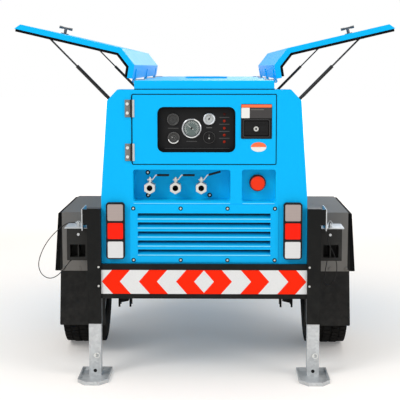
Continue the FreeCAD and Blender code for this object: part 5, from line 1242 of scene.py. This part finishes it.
def slotted_plate():
    """The plate, built as a grid of cells without those of the slots."""
    tops = [SLOT_TOP - SLOT_PITCH * i for i in range(SLOTS_DOWN)]
    columns = (PLATE[0], -SLOT_HALF, SLOT_HALF, PLATE[1])
    rows = [PLATE[2]] + sorted([z - drop for z in tops for drop in (0.0, SLOT_TALL)]) + [PLATE[3]]
    shape = bmesh.new()
    grid = [[shape.verts.new(at(x, -3.0, z)) for x in columns] for z in rows]
    for row in range(len(rows) - 1):
        for column in range(3):
            if column != 1 or row % 2 == 0:
                shape.faces.new([grid[row][column], grid[row][column + 1], grid[row + 1][column + 1],
                                 grid[row + 1][column]])
    solid = bmesh.ops.extrude_face_region(shape, geom=shape.faces[:])
    for vertex in [item for item in solid["geom"] if isinstance(item, bmesh.types.BMVert)]:
        vertex.co.y += 0.003
    bmesh.ops.recalc_face_normals(shape, faces=shape.faces)
    mesh = bpy.data.meshes.new("louvre_plate")
    shape.to_mesh(mesh)
    shape.free()
    piece = coat_with(link("louvre_plate", mesh), "canopy_blue")
    rounding = piece.modifiers.new("rounded edges", "BEVEL")
    rounding.width, rounding.segments, rounding.harden_normals = 0.0007, 2, True
    rounding.limit_method, rounding.angle_limit = "ANGLE", SHARP
    mesh.shade_smooth()
    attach(piece, "chassis")
    return piece


def make_louvres():
    low = SLOT_TALL
    slat = [(-3.0, -low - 2.6), (-5.0, -low - 2.0), (-6.2, -low - 0.3), (-6.0, -low + 1.6),
            (-4.6, -low + 2.9), (-2.4, -low + 3.4), (SLAT_BACK, -9.0), (SLAT_BACK + 1.4, -10.6),
            (-0.6, -low - 0.2), (-0.6, -low - 2.6)]
    spots = [(0.0, 0.0, SLOT_TOP - SLOT_PITCH * i) for i in range(SLOTS_DOWN)]
    slats = copies("louvre_slats", *pushed(slat, SLOT_HALF + 1.0), spots, "canopy_blue")
    cheek = pushed([(-1.0, 2.0), (SLAT_BACK + 1.4, 2.0), (SLAT_BACK + 1.4, -9.0), (-1.0, -low - 1.0)], 1.2)
    sides = [(x, 0.0, z) for x in (-SLOT_HALF - 0.9, SLOT_HALF + 0.9) for _, _, z in spots]
    cheeks = copies("louvre_cheeks", *cheek, sides, "canopy_blue")
    # The lips are a paler blue: a painted highlight along each rolled edge.
    lip = [(-5.6, -low - 2.2), (-6.7, -low - 0.6), (-6.5, -low + 1.4), (-5.2, -low + 2.4), (-4.8, -low)]
    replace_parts(copies("louvre_lips", *pushed(lip, SLOT_HALF), spots, "lip_blue"), "louvre_panel")
    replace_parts(slotted_plate(), "louvre_panel")
    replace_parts(slats, "louvre_panel")
    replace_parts(cheeks, "louvre_panel")
    # A black box behind the slots, so that their tops read dark: painted shade.
    outer, inner = block(-311.0, 311.0, 532.0, 758.0, 8.0), block(-307.0, 307.0, 536.0, 754.0, 6.0)
    ring("air_baffle_walls", outer, inner, 3.0, 32.0, "moulded_black")
    prism("air_baffle_back", outer, "place", 32.0, 34.0, "moulded_black")


make_louvres()
print("louvre slats:", SLOTS_DOWN)

# %% [markdown]
# ## The control door and what is on it
# The door's edge shows as a thin black line: a black strip in the gap, painted shade of the gap, a
# little wider on the hinge side where the shadow is deeper.  Beside it are the window's ledge, the labels
# and the latch.  The labels carry no words here: each is a blank field of film in the colours that
# such labels have.

# %% Seam, ledge, labels and lock
SEAM, DOOR_BOX = 3.6, (-315.5, 315.5, 954.5, 1259.0)


def around(box, amount, radius):
    return block(box[0] - amount, box[1] + amount, box[2] - amount, box[3] + amount, radius + amount)


# A black strip round the door and a wider one on the hinge side: painted shade of the gap.
ring("door_seam", around(DOOR_BOX, SEAM, 3.0), around(DOOR_BOX, 0.0, 3.0), -1.2, -0.1, "rubber")
prism("door_seam_hinge_side", block(-320.6, -316.0, 958.0, 1256.0, 1.0), "place", -1.6, -0.2, "rubber")
WINDOW_FRAME = (-202.0, 134.0, 1010.0, 1202.0)
ring("window_gasket", around(WINDOW_FRAME, 3.5, 24.0), around(WINDOW_FRAME, -4.0, 24.0), -5.2, -3.6,
     "rubber", "control door")
prism("window_ledge", block(-176.0, 112.0, 1020.4, 1022.6, 1.0), "place", 22.0, 25.9, "mark_dim",
      edge=0.0004)
LABELS = (("warning_strip", (163.5, 296.5, 1203.5, 1216.5), "label_orange"),
          ("warning_field", (163.5, 200.0, 1157.0, 1202.5), "label_white"),
          ("notice_field", (201.0, 296.5, 1157.0, 1202.5), "label_grey"))
for name, field, finish in LABELS:
    prism(name, block(*field, 1.5), "place", -6.35, -5.95, finish, "control door")
prism("notice_line", block(205.0, 262.0, 1192.0, 1196.5, 1.0), "place", -6.6, -6.3, "mark_grey",
      "control door")
OVAL = (240.0, 1030.0, 34.0, 0.63)
prism("oval_label_white", disc(*OVAL[:3], squash=OVAL[3]), "place", -4.3, -3.95, "label_white",
      "control door")
prism("oval_label_orange", disc(*OVAL[:3], 0.0, 180.0, OVAL[3]), "place", -4.6, -4.25, "label_orange",
      "control door")
LOCK = (228.5, 1110.0)
ring("lock_rosette", disc(*LOCK, 11.0), disc(*LOCK, 4.4), -10.6, -9.9, "zinc", "latch paddle")
# A black slot on the lock: painted shade of the keyway.
prism("lock_keyhole", block(LOCK[0] - 1.1, LOCK[0] + 1.1, LOCK[1] - 4.5, LOCK[1] + 4.5, 0.9), "place",
      -10.9, -10.5, "grip_black", "latch paddle")
ring("tray_rim", around((174.0, 286.0, 1076.0, 1148.0), 3.0, 6.0), around((174.0, 286.0, 1076.0, 1148.0),
     0.0, 6.0), -7.2, -5.9, "gauge_black", "control door")

# %% [markdown]
# ## Faces of the instruments
# A dial is read by its ticks and its needle.  The ticks stand in a ring from lower left to lower
# right, so they are copies of one small bar whose long side follows an arrow from the middle of the
# dial.  The glass isn't modelled: its gloss is in the dial's clear coat.

# %% Ticks, needles and blank name strips
DIAL_PLACE = 23.0
SWEEP = (225.0, -45.0)


def radial(middle, angle, distance):
    turn = math.radians(angle)
    return middle[0] + distance * math.cos(turn), middle[1] + distance * math.sin(turn)


def ticks(name, middle, distance, long, wide, count, finish, sweep=SWEEP):
    angles = [sweep[0] + (sweep[1] - sweep[0]) * i / (count - 1) for i in range(count)]
    spots, aims = [], []
    for angle in angles:
        x, z = radial(middle, angle, distance)
        spots.append((x, DIAL_PLACE, z))
        aims.append((math.cos(math.radians(angle)), 0.0, math.sin(math.radians(angle))))
    points = [(x, y, z) for y in (-0.5, 0.05) for x, z in
              ((-wide / 2, -long / 2), (wide / 2, -long / 2), (wide / 2, long / 2), (-wide / 2, long / 2))]
    faces = [(0, 1, 2, 3), (4, 5, 6, 7), (0, 1, 5, 4), (1, 2, 6, 5), (2, 3, 7, 6), (3, 0, 4, 7)]
    return copies(name, points, faces, spots, finish, "chassis", aims)


def needle(name, middle, angle, long, tail, wide, finish):
    """A tapered pointer through the middle of a dial, with its boss."""
    turn = math.radians(angle)
    ahead, aside = (math.cos(turn), math.sin(turn)), (-math.sin(turn), math.cos(turn))
    outline = [(middle[0] + ahead[0] * u + aside[0] * v, middle[1] + ahead[1] * u + aside[1] * v)
               for u, v in ((-tail, -wide / 2), (long, -wide / 6), (long, wide / 6), (-tail, wide / 2))]
    prism(name, outline, "place", DIAL_PLACE - 2.0, DIAL_PLACE - 1.3, finish)
    prism(name + "_boss", disc(*middle, wide * 1.4, steps=20), "place", DIAL_PLACE - 2.8,
          DIAL_PLACE + 0.1, "grip_black", edge=0.0003)


UPPER_LEFT, LOWER_LEFT, UPPER_RIGHT = (-137.5, 1150.0), (-135.0, 1068.5), (22.0, 1152.0)
ticks("main_gauge_ticks", MAIN_GAUGE, 31.0, 5.0, 1.0, 19, "mark_white")
ticks("main_gauge_inner_ticks", MAIN_GAUGE, 22.0, 3.0, 0.8, 13, "mark_white")
ring("main_gauge_scale", disc(*MAIN_GAUGE, 27.6, -45.0, 225.0), disc(*MAIN_GAUGE, 26.8, -45.0, 225.0),
     DIAL_PLACE - 0.5, DIAL_PLACE + 0.05, "mark_white", closed=False)
# The glint rings are white crescents on the bezels: painted highlights.
ring("main_gauge_glint", disc(*MAIN_GAUGE, 42.6, 20.0, 75.0), disc(*MAIN_GAUGE, 38.6, 20.0, 75.0), 14.2,
     15.2, "label_white", closed=False)
ring("main_gauge_low_glint", disc(*MAIN_GAUGE, 42.6, 235.0, 300.0), disc(*MAIN_GAUGE, 39.6, 235.0, 300.0),
     14.2, 15.2, "label_white", closed=False)
ring("lower_left_glint", disc(*LOWER_LEFT, 25.4, 195.0, 330.0), disc(*LOWER_LEFT, 21.4, 195.0, 330.0),
     14.4, 15.4, "label_white", closed=False)
ring("lower_left_bezel_ring", disc(*LOWER_LEFT, 25.6), disc(*LOWER_LEFT, 23.6), 14.8, 15.6, "mark_grey")
needle("main_gauge_needle", MAIN_GAUGE, 142.0, 26.0, 9.0, 3.4, "mark_white")
# A black ring just inside the main bezel: painted shade.
ring("main_gauge_shadow", disc(*MAIN_GAUGE, 36.2), disc(*MAIN_GAUGE, 34.8), DIAL_PLACE - 1.0,
     DIAL_PLACE + 0.05, "grip_black")
ticks("upper_left_ticks", UPPER_LEFT, 15.0, 3.0, 0.8, 11, "mark_grey")
ring("upper_left_ring", disc(*UPPER_LEFT, 25.4), disc(*UPPER_LEFT, 23.8), 14.6, 15.6, "mark_grey")
needle("upper_left_needle", UPPER_LEFT, 200.0, 13.0, 5.0, 2.4, "mark_grey")
ticks("lower_left_ticks", LOWER_LEFT, 15.5, 3.0, 0.8, 11, "mark_grey")
ring("lower_left_ring", disc(*LOWER_LEFT, 11.5), disc(*LOWER_LEFT, 10.3), DIAL_PLACE - 0.5,
     DIAL_PLACE + 0.05, "mark_grey")
needle("lower_left_needle", LOWER_LEFT, 160.0, 12.0, 4.0, 2.2, "mark_white")
ticks("upper_right_ticks", UPPER_RIGHT, 15.0, 3.6, 0.9, 11, "grip_black")
needle("upper_right_needle", UPPER_RIGHT, 57.0, 14.0, 6.0, 2.6, "grip_black")
STRIPS = ((-137.0, 1110.5, 47.0), (-55.0, 1052.5, 47.0), (22.0, 1113.0, 26.0), (89.0, 1159.0, 44.0),
          (89.0, 1128.5, 46.0), (89.0, 1097.0, 46.0), (89.0, 1066.5, 46.0))
for number, (x, z, wide) in enumerate(STRIPS):
    prism("name_strip_%d" % (number + 1), block(x - wide / 2, x + wide / 2, z - 1.6, z + 1.6, 0.8),
          "place", 25.3, 26.05, "mark_dim" if number != 2 else "mark_grey")
SWITCH = (22.0, 1070.0)
ring("switch_collar", disc(*SWITCH, 26.5), disc(*SWITCH, 24.6), 19.0, 26.05, "mark_dim")
prism("switch_pointer", block(SWITCH[0] - 1.2, SWITCH[0] + 1.2, SWITCH[1] + 5, SWITCH[1] + 15, 1.0),
      "place", 1.4, 2.1, "mark_grey", "start switch")
prism("switch_key", disc(SWITCH[0], SWITCH[1] - 2.0, 3.4, steps=20), "place", -0.5, 2.1, "zinc",
      "start switch", 0.0006)

# %% [markdown]
# ## Bolts, nuts and pins
# The plates of the rear are held by small domed bolts, each on a dark washer.  The posts carry bolts
# in their front faces, and each leg is pinned.

# %% Panel bolts and post bolts
# Thin paler strips along the lower edges of the recesses: a painted highlight on their folded lips.
LIPS = ((-313.0, 115.0), (170.0, 312.0))
for number, (start, end) in enumerate(LIPS):
    prism("recess_lip_%d" % (number + 1), block(start, end, 777.5, 780.0, 1.0), "place", -1.6, -0.1, "lip_blue",
          edge=0.0004)
PLATE_BOLTS = [(x, -3.0, z) for x in (-314.0, -104.0, 104.0, 314.0) for z in (525.0, 756.5)]
RECESS_BOLTS = [(-256.0, 120.0, 906.0), (-255.0, 120.0, 802.0), (24.0, 120.0, 803.0)]


def washered(name, spots, washer, head):
    """Dark washers with a bright domed head on each."""
    bolts(name + "_washers", spots, washer, 0.9, "rubber", washer=1.0, sides=24)
    heads = [(x, place - 0.9, z) for x, place, z in spots]
    bolts(name, heads, head, 3.6, "nickel", washer=1.12, sides=16)


washered("plate_bolt", PLATE_BOLTS, 9.2, 4.4)
washered("recess_bolt", RECESS_BOLTS, 10.5, 4.4)
for piece in ("plate_bolt", "recess_bolt"):
    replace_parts(bpy.data.objects[piece], "panel_bolts")
POST_BOLTS = [(side * 467.5, -40.0, z) for side in (-1, 1) for z in (413.5, 498.5)]
bolts("post_bolts", POST_BOLTS, 4.2, 2.2, "zinc", washer=1.18, sides=16)
for side, leg in ((-1, "left"), (1, "right")):
    # A black disc at the leg's hole: painted shade of the hole.
    prism(leg + "_leg_hole", disc(side * 487.5, 27.0, 8.0, steps=24), "place", -32.5, -30.0, "grip_black",
          leg + " jack leg")
    ring(leg + "_pin_collar", disc(side * 487.5, 98.0, 8.4, steps=24), disc(side * 487.5, 98.0, 6.1, steps=24),
         -33.6, -31.9, "zinc", leg + " jack leg")

# %% [markdown]
# ## Rubber edge of the fenders
# A black rubber profile is pushed over the outer edge of each fender, so that a grazed wall leaves no
# dent.  It follows the back, the top and the front of the fender, and leans out with its sides.

# %% Fender edges
FENDER = {"back": 300.0, "front": 980.0, "low": 421.0, "top": 701.0, "outer": 674.0, "flare": 14.0}
EDGE_WIDE, EDGE_DEEP = 17.0, 20.0


def fender_edge(side, name):
    def station(place, z, inward):
        out = FENDER["outer"] + FENDER["flare"] * (FENDER["top"] - z) / (FENDER["top"] - FENDER["low"])
        wide = EDGE_WIDE + 4.0 * (FENDER["top"] - z) / 280.0
        p, h = place + inward[0] * EDGE_DEEP, z + inward[1] * EDGE_DEEP
        return [at(side * (out - 0.4), place, z), at(side * (out + wide), place, z),
                at(side * (out + wide), p, h), at(side * (out - 0.4), p, h)]

    back, front, low, top = (FENDER[key] for key in ("back", "front", "low", "top"))
    stations = [station(back, low, (1, 0)), station(back, top - 5, (1, -1)), station(front, top - 5, (-1, -1)),
                station(front, low, (-1, 0))]
    points = [point for corners in stations for point in corners]
    faces = [(0, 1, 2, 3), (12, 13, 14, 15)]
    faces += [(4 * i + j, 4 * i + (j + 1) % 4, 4 * i + 4 + (j + 1) % 4, 4 * i + 4 + j)
              for i in range(3) for j in range(4)]
    finished(name + "_fender_edge", points, faces, "rubber", "chassis", 0.003)


fender_edge(-1, "left")
fender_edge(1, "right")
print("small pieces are on")

# %% [markdown]
# ## Under the doors
# With the doors open the machinery shows.  The canisters of the air cleaners are held by steel bands
# with a clamp, the vessel has weld beads where its ends join, and the engine's cover is held by a row
# of bolts.  Here the bands are rings about the cleaners' own axis and the lower bead is a ring about
# the vessel's; the clamps, the upper bead and the cover bolts are not made.

# %% Bands and a weld bead
CLEANER = {"x": -300.0, "z": 1010.0, "radius": 88.0, "ahead": -168.0, "bands": (58.0, 262.0), "wide": 16.0}
SLOTS |= {"aluminium": "cooler", "steel_dark": "zinc", "engine_paint": "cast_engine", "tank_black": "vessel"}
for number, solid in enumerate(solids_of("air_cleaners")):
    for step, ahead in enumerate(CLEANER["bands"]):
        start = solid["place"] + CLEANER["ahead"] + ahead
        middle, radius = (CLEANER["x"], CLEANER["z"]), CLEANER["radius"]
        ring("cleaner_band_%d_%d" % (number + 1, step + 1), disc(*middle, radius + 2.2),
             disc(*middle, radius - 0.6), start, start + CLEANER["wide"], "zinc")
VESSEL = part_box("air_receiver")


def weld_bead(name, height):
    """A thin raised ring round the upright vessel, at a share of its height."""
    middle = (VESSEL[0] + VESSEL[1]) / 2
    radius = (VESSEL[1].x - VESSEL[0].x) / 2
    bead = [(radius - 0.001, -0.004), (radius + 0.0022, -0.0025), (radius + 0.0022, 0.0025), (radius - 0.001, 0.004)]
    z = VESSEL[0].z + (VESSEL[1].z - VESSEL[0].z) * height
    piece = turned(name, bead, Vector((0.0, 0.0, 0.0)), 64)
    piece.data.transform(Matrix.Translation((middle.x, middle.y, z)) @ Matrix.Rotation(-math.pi / 2, 4, "Y"))
    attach(coat_with(piece, "tank_black"), "chassis")


weld_bead("vessel_lower_bead", 0.16)
print("bands on the cleaners:", len(CLEANER["bands"]) * 2)
